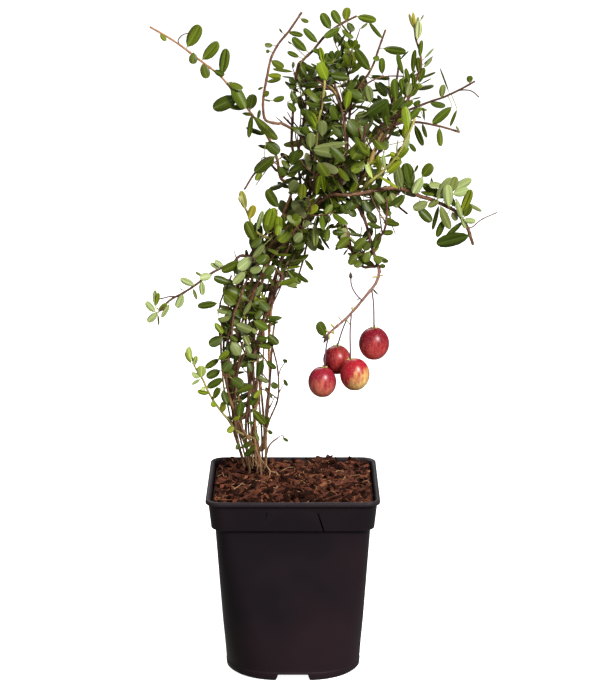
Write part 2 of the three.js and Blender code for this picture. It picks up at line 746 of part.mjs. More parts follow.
function berrySolids(runner) {
  const solids = [];
  for (const { centre, half, at } of BERRIES) {
    const [width, height] = half;
    const berry = new THREE.SphereGeometry(1, BERRY_SIDES, BERRY_LEVELS).rotateX(Math.PI / 2);
    berry.scale(width, width, height).translate(...centre);
    const top = v(...centre).add(v(0, 0, height - STALK_SINK));
    const knot = runner.at(at);
    const sag = knot.clone().lerp(top, SAG_AT);
    sag.x += Math.sign(top.x - knot.x) * SAG_SIDEWAYS;
    const stalk = new Limb([knot, sag, top], STALK_RADIUS, STALK_RADIUS);
    solids.push(solidOf(berry), stalk.solid(TWIG_SIDES));
  }
  return solids;
}

// All twigs are laid first, so that they part from one another; leaves then fill the space that is left
function makeSprays() {
  const runner = { name: "fruiting_runner", from: "bough_hang", at: 1, through: RUNNER };
  const all = [{ ...runner, size: 7, forks: 0, finish: "fruit" }, ...SPRAYS, ...bundleShoots()];
  for (const spray of all) {
    const { name, from, at, through } = spray;
    spray.twig = branch(name, from, at, through, TWIG_RADIUS, TWIG_TIP_RADIUS);
    spray.pieces = [spray.twig.solid(TWIG_SIDES)];
    if (spray.finish === "fruit") spray.pieces.push(...berrySolids(spray.twig));
    for (const piece of spray.pieces) addPlaced(name, piece);
  }
  all.forEach(({ name, twig, pieces, size, forks, finish }, i) => {
    const draw = numbers(SEED + i);
    const roots = [...pieces];
    const grow = (solid) => {
      const clear = !touches(solid, name, roots);
      if (clear) {
        addPlaced(name, solid);
        pieces.push(solid);
      }
      return clear;
    };
    const shoots = [];
    for (const shoot of sideShoots(twig, forks, size, draw)) {
      if (grow(shoot.solid(TWIG_SIDES))) shoots.push(shoot);
    }
    roots.push(...pieces.slice(roots.length));
    leavesAlong(twig, size, draw, BARE_FOOT).forEach(grow);
    for (const shoot of shoots) {
      leavesAlong(shoot, size * SHOOT_LEAF, draw, BARE_SHOOT).forEach(grow);
    }
    addNode(name, wholeBody(wasm.Manifold.union(pieces)), finish);
  });
}

makePot();
makePottingMix();
makeStems();
makeBoughs();
makeSprays();

export default plant;
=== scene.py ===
# A cranberry plant in a square nursery pot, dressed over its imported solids. Sizes are millimetres times MM.
import math

import bmesh
import bpy
import numpy as np
from mathutils import Matrix, Vector, noise


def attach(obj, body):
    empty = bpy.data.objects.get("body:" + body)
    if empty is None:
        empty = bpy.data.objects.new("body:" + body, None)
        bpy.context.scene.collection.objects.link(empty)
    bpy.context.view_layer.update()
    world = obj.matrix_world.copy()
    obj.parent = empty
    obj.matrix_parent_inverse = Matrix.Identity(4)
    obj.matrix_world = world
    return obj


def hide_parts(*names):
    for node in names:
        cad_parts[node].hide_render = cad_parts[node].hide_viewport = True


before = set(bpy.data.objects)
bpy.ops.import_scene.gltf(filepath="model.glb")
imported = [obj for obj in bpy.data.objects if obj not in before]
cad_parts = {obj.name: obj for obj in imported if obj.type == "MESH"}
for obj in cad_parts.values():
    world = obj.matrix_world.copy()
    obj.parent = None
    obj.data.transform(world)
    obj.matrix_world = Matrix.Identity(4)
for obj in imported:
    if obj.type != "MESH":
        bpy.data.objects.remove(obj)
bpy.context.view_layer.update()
MM = 0.001

# Camera, floor and studio light. The camera looks a little down at the plant from its front, as the
# photographer did, over a pale floor. Wide soft lamps stand round it under an even white sky.
camera_data = bpy.data.cameras.new("camera")
camera_data.lens = 123.8
camera_data.sensor_width = 36
camera = bpy.data.objects.new("camera", camera_data)
camera.location = (0.0037, -1.199, 0.440)
camera.rotation_euler = (math.radians(90 - 12.48), 0, 0)
bpy.context.collection.objects.link(camera)
bpy.context.scene.camera = camera
bpy.context.scene.view_settings.view_transform = "Standard"

world = bpy.data.worlds.new("studio")
world.use_nodes = True
world.node_tree.nodes["Background"].inputs["Color"].default_value = (1.0, 0.975, 0.92, 1.0)
world.node_tree.nodes["Background"].inputs["Strength"].default_value = 0.31
bpy.context.scene.world = world

bpy.ops.object.select_all(action="DESELECT")
bpy.ops.mesh.primitive_plane_add(size=30, location=(0, 0, 0))
floor = bpy.context.object
floor.name = "floor"
floor_finish = bpy.data.materials.new("floor_pale")
floor_finish.use_nodes = True
floor_shader = floor_finish.node_tree.nodes["Principled BSDF"]
floor_shader.inputs["Base Color"].default_value = (0.93, 0.93, 0.93, 1)
floor_shader.inputs["Roughness"].default_value = 0.8
floor_shader.inputs["Specular IOR Level"].default_value = 0.2
floor_shader.inputs["Emission Color"].default_value = (1, 1, 1, 1)
floor_shader.inputs["Emission Strength"].default_value = 0.95
floor.data.materials.append(floor_finish)
floor.visible_diffuse = False
floor.visible_glossy = False

LAMPS = (
    ("key", (0.66, -0.95, 0.95), 0.5, 31),
    ("fill", (-0.15, -1.5, 0.9), 1.4, 5),
    ("back", (-0.3, 1.1, 1.1), 0.9, 8),
)
for lamp_name, place, size, power in LAMPS:
    lamp_data = bpy.data.lights.new(lamp_name, "AREA")
    lamp_data.shape = "DISK"
    lamp_data.size = size
    lamp_data.energy = power
    lamp = bpy.data.objects.new(lamp_name, lamp_data)
    lamp.location = place
    lamp.rotation_euler = (Vector((0, 0, 0.2)) - Vector(place)).to_track_quat("-Z", "Y").to_euler()
    bpy.context.collection.objects.link(lamp)

# Pot. A thin moulded shell of black plastic: round at its foot, square at its rim, with a stepped
# collar under a rolled lip. Four channels under the foot let water out, and slanted cuts in the
# collar of the front and the back hold a label.
POT_HEIGHT = 100
RIM_HALF = 45
BODY_TOP = 83
COLLAR_FOOT = 84.2
FOOT_HALF = 35.4
SHOULDER_HALF = 40.2
COLLAR_HALF = 42.2
FOOT_CORNER = 28
COLLAR_CORNER = 8
INSIDE_CORNER = 7
WALL = 1
CORNER_POINTS = 12


def rounded_square(half, corner, z):
    """One level of the pot: a square with rounded corners, in metres."""
    ring = []
    for quarter in range(4):
        middle = math.radians(45 + 90 * quarter)
        centre = Vector((math.cos(middle), math.sin(middle))) * math.sqrt(2) * (half - corner)
        for k in range(CORNER_POINTS + 1):
            angle = math.radians(90 * (quarter + k / CORNER_POINTS))
            point = centre + corner * Vector((math.cos(angle), math.sin(angle)))
            ring.append(Vector((point.x, point.y, z)) * MM)
        following = math.radians(45 + 90 * (quarter + 1))
        next_centre = Vector((math.cos(following), math.sin(following))) * math.sqrt(2) * (half - corner)
        side = math.radians(90 * (quarter + 1))
        edge = corner * Vector((math.cos(side), math.sin(side)))
        for share in (0.25, 0.5, 0.75):
            point = centre.lerp(next_centre, share) + edge
            ring.append(Vector((point.x, point.y, z)) * MM)
    return ring


def body_level(z, inset=0):
    """Half width and corner of the body at a height: well rounded at the foot, nearly square above."""
    rise = min(max(z / BODY_TOP, 0), 1)
    half = FOOT_HALF + (SHOULDER_HALF - FOOT_HALF) * rise
    corner = FOOT_CORNER + (COLLAR_CORNER - FOOT_CORNER) * rise**0.8
    return half - inset, corner - inset, z


def principled(name, roughness, specular):
    """A new material with its Principled shader's plain values set."""
    material = bpy.data.materials.new(name)
    material.use_nodes = True
    shader = material.node_tree.nodes["Principled BSDF"]
    shader.inputs["Roughness"].default_value = roughness
    shader.inputs["Specular IOR Level"].default_value = specular
    return material


def feed(tree, node, inputs):
    """Joins each input to an output of a node made before, or sets its value."""
    for socket, value in inputs.items():
        if isinstance(value, tuple) and isinstance(value[0], bpy.types.Node):
            tree.links.new(value[0].outputs[value[1]], node.inputs[socket])
        else:
            node.inputs[socket].default_value = value


def add_node(tree, kind, inputs=None, **values):
    """A shader node of that kind with its inputs fed, and other properties and inputs set by name."""
    node = tree.nodes.new("ShaderNode" + kind)
    for name, value in values.items():
        if hasattr(node, name):
            setattr(node, name, value)
        else:
            node.inputs[name.replace("_", " ")].default_value = value
    feed(tree, node, inputs or {})
    return node


def new_group(name, inputs, outputs):
    """An empty shader node group with named sockets, and its input and output nodes."""
    group = bpy.data.node_groups.new(name, "ShaderNodeTree")
    for in_out, sockets in (("INPUT", inputs), ("OUTPUT", outputs)):
        for label, kind in sockets:
            group.interface.new_socket(name=label, in_out=in_out, socket_type="NodeSocket" + kind)
    return group, group.nodes.new("NodeGroupInput"), group.nodes.new("NodeGroupOutput")


def place_group(tree, group, inputs):
    """A node of a shared group, with its inputs fed."""
    node = tree.nodes.new("ShaderNodeGroup")
    node.node_tree = group
    feed(tree, node, inputs)
    return node


def bumped(material, height, strength, distance):
    """Makes the shader's normal from a height, given as a node and its output."""
    tree = material.node_tree
    bump = add_node(tree, "Bump", {"Height": height}, Strength=strength, Distance=distance)
    feed(tree, tree.nodes["Principled BSDF"], {"Normal": (bump, "Normal")})


def surfaced(material, group, values, relief, strength, distance):
    """Gives a material its base colour and its relief from a shared group, and gives it back."""
    tree = material.node_tree
    surface = place_group(tree, group, values)
    feed(tree, tree.nodes["Principled BSDF"], {"Base Color": (surface, "Color")})
    bumped(material, (surface, relief), strength, distance)
    return material


def move_newest(piece, places):
    """Moves the corners that were made last to their places."""
    shape = bmesh.from_edit_mesh(piece.data)
    shape.verts.ensure_lookup_table()
    for vertex, place in zip(shape.verts[-len(places):], places):
        vertex.co = place
    bmesh.update_edit_mesh(piece.data)


def make_active(piece):
    """Selects one piece alone for the next operator."""
    bpy.ops.object.select_all(action="DESELECT")
    piece.select_set(True)
    bpy.context.view_layer.objects.active = piece


def mottle_nodes():
    """Mottling: two colours mixed by soft patches, with a finer grain over them."""
    tree, given, result = new_group(
        "mottle",
        [
            ("Patch Colour", "Color"), ("Ground Colour", "Color"),
            ("Patch Scale", "Float"), ("Grain Scale", "Float"),
        ],
        [("Color", "Color"), ("Patches", "Float"), ("Grain", "Float")],
    )
    place = add_node(tree, "TexCoord")
    patches = add_node(
        tree, "TexNoise", {"Vector": (place, "Object"), "Scale": (given, "Patch Scale")}, Detail=3.0
    )
    grain = add_node(
        tree, "TexNoise", {"Vector": (place, "Object"), "Scale": (given, "Grain Scale")}, Detail=5.0
    )
    soft = add_node(tree, "MapRange", {"Value": (patches, "Fac")}, From_Min=0.38, From_Max=0.62)
    mixed = add_node(
        tree, "Mix", {0: (soft, "Result"), 6: (given, "Ground Colour"), 7: (given, "Patch Colour")},
        data_type="RGBA",
    )
    feed(tree, result, {"Color": (mixed, 2), "Patches": (soft, "Result"), "Grain": (grain, "Fac")})
    return tree


mottle = mottle_nodes()

POT_LEVELS = [
    (34.0, 26.6, 0),
    body_level(1.4),
    body_level(4.4),
    body_level(4.9, 0.35),
    *(body_level(z, 0.2) for z in (7, 16)),
    *(body_level(z) for z in (28, 42, 56, 70, BODY_TOP)),
    (COLLAR_HALF, COLLAR_CORNER, COLLAR_FOOT),
    (43.6, COLLAR_CORNER, 97.4),
    (RIM_HALF, COLLAR_CORNER, 97.8),
    (RIM_HALF, COLLAR_CORNER, POT_HEIGHT - 0.6),
    (RIM_HALF - 0.6, 7.4, POT_HEIGHT),
    (43.4, 6.5, POT_HEIGHT),
    (43.6 - WALL, INSIDE_CORNER, POT_HEIGHT - 0.8),
    (COLLAR_HALF - WALL, INSIDE_CORNER, COLLAR_FOOT + WALL),
    *(body_level(z, WALL) for z in (COLLAR_FOOT, 54, 26, 5)),
]
bpy.ops.object.select_all(action="DESELECT")
bpy.ops.mesh.primitive_circle_add(vertices=4 * (CORNER_POINTS + 4), radius=RIM_HALF * MM, fill_type="NGON")
pot = bpy.context.object
pot.name = "nursery_pot"
first_level = rounded_square(*POT_LEVELS[0])
for vertex in pot.data.vertices:
    vertex.co = first_level[vertex.index]
bpy.ops.object.mode_set(mode="EDIT")
bpy.ops.mesh.select_all(action="SELECT")
bpy.ops.mesh.duplicate()
bpy.ops.mesh.delete(type="ONLY_FACE")
bpy.ops.object.mode_set(mode="OBJECT")
rim_start = len(pot.data.vertices) // 2
for vertex in pot.data.vertices:
    vertex.select = vertex.index >= rim_start
bpy.ops.object.mode_set(mode="EDIT")
bpy.ops.mesh.select_mode(type="VERT")
for level in POT_LEVELS[1:]:
    bpy.ops.mesh.extrude_region_move(TRANSFORM_OT_translate={"value": (0, 0, MM)})
    move_newest(pot, rounded_square(*level))
bpy.ops.mesh.edge_face_add()
bpy.ops.mesh.select_all(action="SELECT")
bpy.ops.mesh.remove_doubles(threshold=1e-6)
bpy.ops.mesh.normals_make_consistent(inside=False)
bpy.ops.object.mode_set(mode="OBJECT")


def cut_from(piece, cutter):
    """Cuts one mesh out of another and removes it."""
    cut = piece.modifiers.new("cut", "BOOLEAN")
    cut.object = cutter
    cut.operation = "DIFFERENCE"
    make_active(piece)
    bpy.ops.object.modifier_apply(modifier=cut.name)
    bpy.data.objects.remove(cutter)


CHANNEL_HEIGHT = 3.6
CHANNEL_FOOT = 9.4
CHANNEL_TOP = 7.8
CENTRE_PAD = 13
CHANNEL_REACH = 26
CHANNEL_BELOW = -1
DRAIN_AT = 23
DRAIN_RADIUS = 4
for side in range(4):
    turn = Matrix.Rotation(math.radians(90 * side), 4, "Z")
    bpy.ops.object.select_all(action="DESELECT")
    bpy.ops.mesh.primitive_cube_add(size=2)
    channel = bpy.context.object
    for vertex in channel.data.vertices:
        width = CHANNEL_TOP if vertex.co.z > 0 else CHANNEL_FOOT
        height = CHANNEL_HEIGHT if vertex.co.z > 0 else CHANNEL_BELOW
        depth = -CENTRE_PAD if vertex.co.y > 0 else -CENTRE_PAD - CHANNEL_REACH
        vertex.co = turn @ Vector((vertex.co.x * width, depth, height)) * MM
    cut_from(pot, channel)
    drain_place = turn @ Vector((0, -DRAIN_AT, 5)) * MM
    bpy.ops.mesh.primitive_cylinder_add(
        vertices=24, radius=DRAIN_RADIUS * MM, depth=10 * MM, location=drain_place
    )
    cut_from(pot, bpy.context.object)

# Slits in the collar: x and z of the upper and the lower end, width, and y of the inner side
SLITS = (((12.8, 94), (16.0, 83.6), 0.75, -40), ((-13.4, 94), (-14.8, 85), 0.4, -42.6))
OUTSIDE_COLLAR = -46
for face_turn in (0, math.pi):
    for upper, lower, slit_width, slit_depth in SLITS:
        bpy.ops.object.select_all(action="DESELECT")
        bpy.ops.mesh.primitive_cube_add(size=2)
        slit = bpy.context.object
        for vertex in slit.data.vertices:
            x, z = upper if vertex.co.z > 0 else lower
            x += slit_width / 2 * vertex.co.x
            y = slit_depth if vertex.co.y > 0 else OUTSIDE_COLLAR
            vertex.co = Matrix.Rotation(face_turn, 4, "Z") @ Vector((x, y, z)) * MM
        cut_from(pot, slit)

pot_edges = pot.modifiers.new("soft_edges", "BEVEL")
pot_edges.width = 0.28 * MM
pot_edges.segments = 2
pot_edges.limit_method = "ANGLE"
pot_edges.angle_limit = math.radians(24)
make_active(pot)
bpy.ops.object.modifier_apply(modifier=pot_edges.name)
bpy.ops.object.shade_smooth_by_angle(angle=math.radians(22))

pot_black = principled("pot_plastic", 0.42, 0.09)
pot_tree = pot_black.node_tree
pot_shader = pot_tree.nodes["Principled BSDF"]
pot_mottle = place_group(
    pot_tree,
    mottle,
    {
        "Patch Colour": (0.0185, 0.0102, 0.0130, 1),
        "Ground Colour": (0.0104, 0.0075, 0.0100, 1),
        "Patch Scale": 16.0,
        "Grain Scale": 900.0,
    },
)
pot_place = add_node(pot_tree, "TexCoord")
pot_heights = add_node(pot_tree, "SeparateXYZ", {"Vector": (pot_place, "Object")})
# The lip is painted lighter where the grain is high: partly scuffs, partly a painted highlight along the
# rim's edges.
pot_lip = add_node(
    pot_tree, "MapRange", {"Value": (pot_heights, "Z")}, From_Min=0.0972, From_Max=0.1, To_Max=0.8
)
pot_scuffs_and_highlight = add_node(
    pot_tree, "Math", {0: (pot_lip, "Result"), 1: (pot_mottle, "Grain")}, operation="MULTIPLY"
)
pot_colour = add_node(
    pot_tree, "Mix", {0: (pot_scuffs_and_highlight, 0), 6: (pot_mottle, "Color"), 7: (0.045, 0.038, 0.042, 1)},
    data_type="RGBA",
)
pot_roughness = add_node(pot_tree, "MapRange", {"Value": (pot_mottle, "Patches")}, To_Min=0.34, To_Max=0.5)
feed(pot_tree, pot_shader, {"Base Color": (pot_colour, 2), "Roughness": (pot_roughness, "Result")})
bumped(pot_black, (pot_mottle, "Grain"), 0.12, 0.0002)
pot.data.materials.append(pot_black)
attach(pot, "root")
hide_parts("pot")

# Potting mix. Shredded bark fills the pot to just under its lip. A lumpy bed is covered with loose
# chips, crumbs and long pale fibres, each lying as it fell.
MIX_EDGE = 97.1
MIX_DEPTH = 7
MIX_HALF = 40.5
LUMP_SCALE = 0.085
GOLDEN_ANGLE = 137.5


def numbers(seed):
    """A seeded stream of numbers from 0 to 1."""
    state = seed & 0xFFFFFFFF
    while True:
        state = (state + 0x6D2B79F5) & 0xFFFFFFFF
        t = ((state ^ (state >> 15)) * (state | 1)) & 0xFFFFFFFF
        t = ((t + ((t ^ (t >> 7)) * (t | 61))) & 0xFFFFFFFF) ^ t
        yield ((t ^ (t >> 14)) & 0xFFFFFFFF) / 4294967296


def mix(a, b, share):
    """Between a and b by that share."""
    return a + (b - a) * share


def mix_height(x, y):
    """Height of the bed in millimetres: lumps that fade out towards the pot's wall."""
    lumps = noise.fractal(Vector((x * LUMP_SCALE, y * LUMP_SCALE, 3.1)), 1.0, 2.0, 3)
    inside = 1 - max(abs(x), abs(y)) / 42
    sunk = 1.6 * max(0, (y - 30) / 12)
    return MIX_EDGE + 0.5 * min(inside * 4, 1) + 2.8 * lumps * min(inside * 6 + 0.3, 1) - sunk


bpy.ops.object.select_all(action="DESELECT")
bpy.ops.mesh.primitive_circle_add(vertices=4 * (CORNER_POINTS + 4), radius=40 * MM, fill_type="NGON")
mix_bed = bpy.context.object
mix_bed.name = "potting_mix_bed"
bed_edge = rounded_square(COLLAR_HALF - WALL + 0.4, INSIDE_CORNER, MIX_EDGE)
for vertex in mix_bed.data.vertices:
    vertex.co = bed_edge[vertex.index]
bpy.ops.object.mode_set(mode="EDIT")
bpy.ops.mesh.select_all(action="SELECT")
for ring_share in (0.97, 0.93, 0.88, 0.82, 0.76, 0.69, 0.62, 0.54, 0.46, 0.38, 0.3, 0.21, 0.12):
    bpy.ops.mesh.inset(thickness=0.01 * MM)
    move_newest(mix_bed, [(point.x * ring_share, point.y * ring_share, point.z) for point in bed_edge])
bpy.ops.mesh.poke()
shape = bmesh.from_edit_mesh(mix_bed.data)
for vertex in shape.verts:
    vertex.co.z = mix_height(vertex.co.x / MM, vertex.co.y / MM) * MM
    vertex.select = False
shape.select_flush(False)
bmesh.update_edit_mesh(mix_bed.data)
bpy.ops.mesh.select_mode(type="EDGE")
bpy.ops.mesh.select_non_manifold()
bpy.ops.mesh.extrude_region_move(TRANSFORM_OT_translate={"value": (0, 0, -MIX_DEPTH * MM)})
bpy.ops.mesh.edge_face_add()
bpy.ops.mesh.select_all(action="SELECT")
bpy.ops.mesh.normals_make_consistent(inside=False)
bpy.ops.object.mode_set(mode="OBJECT")
bpy.ops.object.shade_smooth_by_angle(angle=math.radians(50))


def shred_nodes():
    """Shredded bark: streaks along each shred, from its own map, with pits between them."""
    tree, given, result = new_group(
        "shred", [("Light", "Color"), ("Dark", "Color")], [("Color", "Color"), ("Height", "Float")]
    )
    own_map = add_node(tree, "UVMap", uv_map="along")
    stretch = add_node(tree, "Mapping", {"Vector": (own_map, "UV")}, Scale=(0.35, 2.6, 1.0))
    streaks = add_node(
        tree, "TexNoise", {"Vector": (stretch, "Vector")}, Scale=1.0, Detail=5.0, Roughness=0.65
    )
    soft = add_node(tree, "MapRange", {"Value": (streaks, "Fac")}, From_Min=0.36, From_Max=0.66)
    mixed = add_node(
        tree, "Mix", {0: (soft, "Result"), 6: (given, "Dark"), 7: (given, "Light")}, data_type="RGBA"
    )
    feed(tree, result, {"Color": (mixed, 2), "Height": (streaks, "Fac")})
    return tree


shred_group = shred_nodes()


def shred_finish(name, light, dark):
    """Dull shredded bark in a light and a dark colour."""
    colours = {"Light": (*light, 1), "Dark": (*dark, 1)}
    return surfaced(principled(name, 0.8, 0.03), shred_group, colours, "Height", 0.8, 0.0006)


bed_finish = surfaced(
    principled("potting_mix_dark", 0.9, 0.12),
    mottle,
    {
        "Patch Colour": (0.035, 0.014, 0.009, 1),
        "Ground Colour": (0.012, 0.006, 0.004, 1),
        "Patch Scale": 420.0,
        "Grain Scale": 1500.0,
    },
    "Grain",
    0.9,
    0.0006,
)
mix_bed.data.materials.append(bed_finish)
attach(mix_bed, "root")
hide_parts("potting_mix")


SMOOTH_BELOW = 60


def square_to(vector, way):
    """The part of a vector that is square to a direction, at unit length."""
    part = vector - way * vector.dot(way)
    return part / np.linalg.norm(part)


def joined_mesh(name, points, faces, finishes, finish_of, maps, smooth=True):
    """One object from arrays: points in millimetres, a finish index for each face, and UV corners."""
    mesh = bpy.data.meshes.new(name)
    mesh.from_pydata((np.asarray(points) * MM).tolist(), [], faces)
    for finish in finishes:
        mesh.materials.append(finish)
    mesh.polygons.foreach_set("material_index", np.asarray(finish_of, dtype=np.int32))
    layer = mesh.uv_layers.new(name="along")
    layer.data.foreach_set("uv", np.asarray(maps, dtype=np.float32).ravel())
    mesh.update()
    piece = bpy.data.objects.new(name, mesh)
    bpy.context.collection.objects.link(piece)
    if smooth:
        make_active(piece)
        bpy.ops.object.shade_smooth_by_angle(angle=math.radians(SMOOTH_BELOW))
    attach(piece, "root")
    return piece


SHRED_OUTLINE = (
    (-0.5, 0.1), (-0.36, 0.42), (0.1, 0.5), (0.4, 0.34),
    (0.5, -0.12), (0.3, -0.46), (-0.12, -0.5), (-0.4, -0.36),
)


def shred(draw, length, width, thickness, centre, tilt):
    """A shred of bark: an uneven eight-cornered slab, pointed at its ends, with its own map."""
    corners, flat = [], []
    offset = (30 * next(draw), 30 * next(draw))
    bow = 0.5 * (next(draw) - 0.5)
    for level in (-0.5, 0.5):
        for x, y in SHRED_OUTLINE:
            x *= (0.8 + 0.4 * next(draw)) * length
            y *= (0.6 + 0.8 * next(draw)) * width
            height = (level * (0.6 + 0.8 * next(draw)) + bow * (2 * x / length) ** 2) * thickness
            corners.append((x, y, height))
            flat.append((x + offset[0], y + level * 0.6 + offset[1]))
    turn = Matrix.Rotation(2 * math.pi * next(draw), 3, "Z")
    turn = turn @ Matrix.Rotation(tilt * (next(draw) - 0.5), 3, "Y")
    turn = turn @ Matrix.Rotation(1.6 * tilt * (next(draw) - 0.5), 3, "X")
    placed = [Vector(centre) + turn @ Vector(corner) for corner in corners]
    faces = [tuple(range(8)), tuple(range(15, 7, -1))]
    faces += [((k + 1) % 8, k, 8 + k, 8 + (k + 1) % 8) for k in range(8)]
    return placed, faces, [flat[corner] for face in faces for corner in face]


# Chips, splinters, crumbs and dust: how many, lengths, widths, thicknesses, tilt and lift
SHRED_KINDS = (
    (480, (8, 16), (1.2, 3.0), (0.9, 1.9), 0.9, 0.8),
    (1300, (4, 9), (0.9, 2.2), (0.7, 1.5), 1.5, 0.5),
    (1900, (1.6, 4), (0.6, 1.3), (0.5, 1.1), 2.4, 0.35),
    (900, (0.8, 1.6), (0.6, 1.1), (0.4, 0.9), 3.0, 0.3),
)
shred_finishes = [
    shred_finish("bark_shred_brown", (0.15, 0.05, 0.03), (0.018, 0.007, 0.004)),
    shred_finish("bark_shred_dark", (0.036, 0.012, 0.008), (0.006, 0.003, 0.002)),
    shred_finish("bark_shred_red", (0.20, 0.062, 0.032), (0.05, 0.016, 0.010)),
    shred_finish("bark_shred_orange", (0.34, 0.14, 0.065), (0.12, 0.042, 0.018)),
]
SHRED_SHARES = (0.44, 0.84, 0.965, 1.0)
NEAR_WALL = 41.2
CORNER_CENTRE = 34
CORNER_ROOM = 6.8
shred_draw = numbers(31)
shred_points, shred_faces, shred_maps, shred_finish_of = [], [], [], []
for count, lengths, widths, depths, tilt, lift in SHRED_KINDS:
    for _ in range(count):
        x = 2 * MIX_HALF * (next(shred_draw) - 0.5)
        y = 2 * MIX_HALF * (next(shred_draw) - 0.5)
        length = mix(*lengths, next(shred_draw))
        width = mix(*widths, next(shred_draw))
        depth = mix(*depths, next(shred_draw))
        half_length = length * 0.55
        over = max(abs(x), abs(y)) + half_length - NEAR_WALL
        if over > 0:
            x *= 1 - over / RIM_HALF
            y *= 1 - over / RIM_HALF
        past_x, past_y = abs(x) - CORNER_CENTRE, abs(y) - CORNER_CENTRE
        if min(past_x, past_y) > 0 and math.hypot(past_x, past_y) + half_length > CORNER_ROOM:
            continue
        z = mix_height(x, y) + lift * depth + 0.9 * next(shred_draw)
        points, faces, maps = shred(shred_draw, length, width, depth, (x, y, z), tilt)
        pick = next(shred_draw)
        kind = next(k for k, share in enumerate(SHRED_SHARES) if pick <= share)
        base = len(shred_points)
        shred_points += points
        shred_faces += [tuple(base + corner for corner in face) for face in faces]
        shred_maps += maps
        shred_finish_of += [kind] * len(faces)
mix_shreds = joined_mesh(
    "potting_mix_shreds", shred_points, shred_faces, shred_finishes, shred_finish_of, shred_maps, False
)


MAP_UNIT = 10


def tube(path, radii, sides, start):
    """Corners, faces and UV corners of a round stem along a path, closed by a point at both ends."""
    path = np.asarray(path, float)
    ways = np.gradient(path, axis=0)
    ways /= np.linalg.norm(ways, axis=1)[:, None]
    lengths = np.concatenate([[0], np.cumsum(np.linalg.norm(np.diff(path, axis=0), axis=1))])
    normal = np.array([1.0, 0, 0]) if abs(ways[0][2]) > 0.9 else np.array([0, 0, 1.0])
    angles = 2 * np.pi * np.arange(sides) / sides
    first, last = np.ravel(radii[0])[0], np.ravel(radii[-1])[0]
    points = [path[0] - ways[0] * first * 0.6]
    for place, way, radius in zip(path, ways, radii):
        normal = square_to(normal, way)
        across = np.cross(way, normal)
        circle = np.outer(np.cos(angles) * radius, normal) + np.outer(np.sin(angles) * radius, across)
        points.extend(place + circle)
    points.append(path[-1] + ways[-1] * last * 0.9)
    faces, maps = [], []
    rings = len(path)
    for k in range(sides):
        following = (k + 1) % sides
        faces.append((start, start + 1 + following, start + 1 + k))
        maps += [(k / sides, 0), ((k + 1) / sides, 0), (k / sides, 0)]
    for ring_at in range(rings - 1):
        low, high = lengths[ring_at] / MAP_UNIT, lengths[ring_at + 1] / MAP_UNIT
        here = start + 1 + ring_at * sides
        for k in range(sides):
            following = (k + 1) % sides
            faces.append((here + k, here + following, here + sides + following, here + sides + k))
            maps += [(k / sides, low), ((k + 1) / sides, low), ((k + 1) / sides, high), (k / sides, high)]
    here = start + 1 + (rings - 1) * sides
    end = lengths[-1] / MAP_UNIT
    for k in range(sides):
        following = (k + 1) % sides
        faces.append((here + k, here + following, here + sides))
        maps += [(k / sides, end), ((k + 1) / sides, end), (k / sides, end)]
    return points, faces, maps


class Bunch:
    """Many small shapes that end as one joined mesh."""

    def __init__(self):
        self.points, self.faces, self.maps, self.finish_of = [], [], [], []

    def add_tube(self, path, radii, sides, finish):
        points, faces, maps = tube(path, radii, sides, len(self.points))
        self.points += points
        self.faces += faces
        self.maps += maps
        self.finish_of += [finish] * len(faces)

    def build(self, name, finishes):
        return joined_mesh(name, self.points, self.faces, finishes, self.finish_of, self.maps)


# Fibres and fine roots that lie over the chips, each one a slack arc. The first ones lie near the middle
FIBRE_COUNT = 260
FIRST_FIBRES = 60
FIBRE_STEPS = 7
FIBRE_REACH = 38
FIRST_REACH = 20
FIBRE_EDGE = 40
fibre_finishes = [
    shred_finish("fibre_straw", (0.5, 0.3, 0.16), (0.25, 0.12, 0.055)),
    shred_finish("fibre_russet", (0.3, 0.11, 0.045), (0.13, 0.045, 0.02)),
]
fibre_draw = numbers(57)
fibres = Bunch()
for i in range(FIBRE_COUNT):
    reach = FIBRE_REACH if i > FIRST_FIBRES else FIRST_REACH
    x = reach * 2 * (next(fibre_draw) - 0.5)
    y = reach * 2 * (next(fibre_draw) - 0.5)
    heading = 2 * math.pi * next(fibre_draw)
    bend = 1.3 * (next(fibre_draw) - 0.5)
    length = mix(6, 17, next(fibre_draw) ** 1.3)
    hump = mix(0.4, 2.4, next(fibre_draw))
    path = []
    for k in range(FIBRE_STEPS + 1):
        share = k / FIBRE_STEPS
        path.append((x, y, mix_height(x, y) + 1.5 + hump * math.sin(math.pi * share)))
        x = min(max(x + length / FIBRE_STEPS * math.cos(heading + bend * share), -FIBRE_EDGE), FIBRE_EDGE)
        y = min(max(y + length / FIBRE_STEPS * math.sin(heading + bend * share), -FIBRE_EDGE), FIBRE_EDGE)
    radius = mix(0.09, 0.2, next(fibre_draw))
    fibres.add_tube(path, [radius] * len(path), 4, 0 if next(fibre_draw) < 0.45 else 1)
ROOT_LOOPS = (
    ((-17, 14, 95), (-13, 10, 101), (-9, 7, 102), (-6, 3, 98), (-5, 1, 95)),
    ((-12, 12, 95), (-11, 6, 99), (-10, 2, 97), (-7, -2, 95)),
    ((-21, 16, 95), (-17, 9, 99), (-13, 3, 97), (-10, -2, 95)),
    ((-8, 14, 95), (-9, 8, 101), (-12, 5, 103), (-13, 2, 99), (-9, -1, 95)),
)
for loop in ROOT_LOOPS:
    fibres.add_tube(loop, [0.3] * len(loop), 5, 0)
mix_fibres = fibres.build("potting_mix_fibres", fibre_finishes)

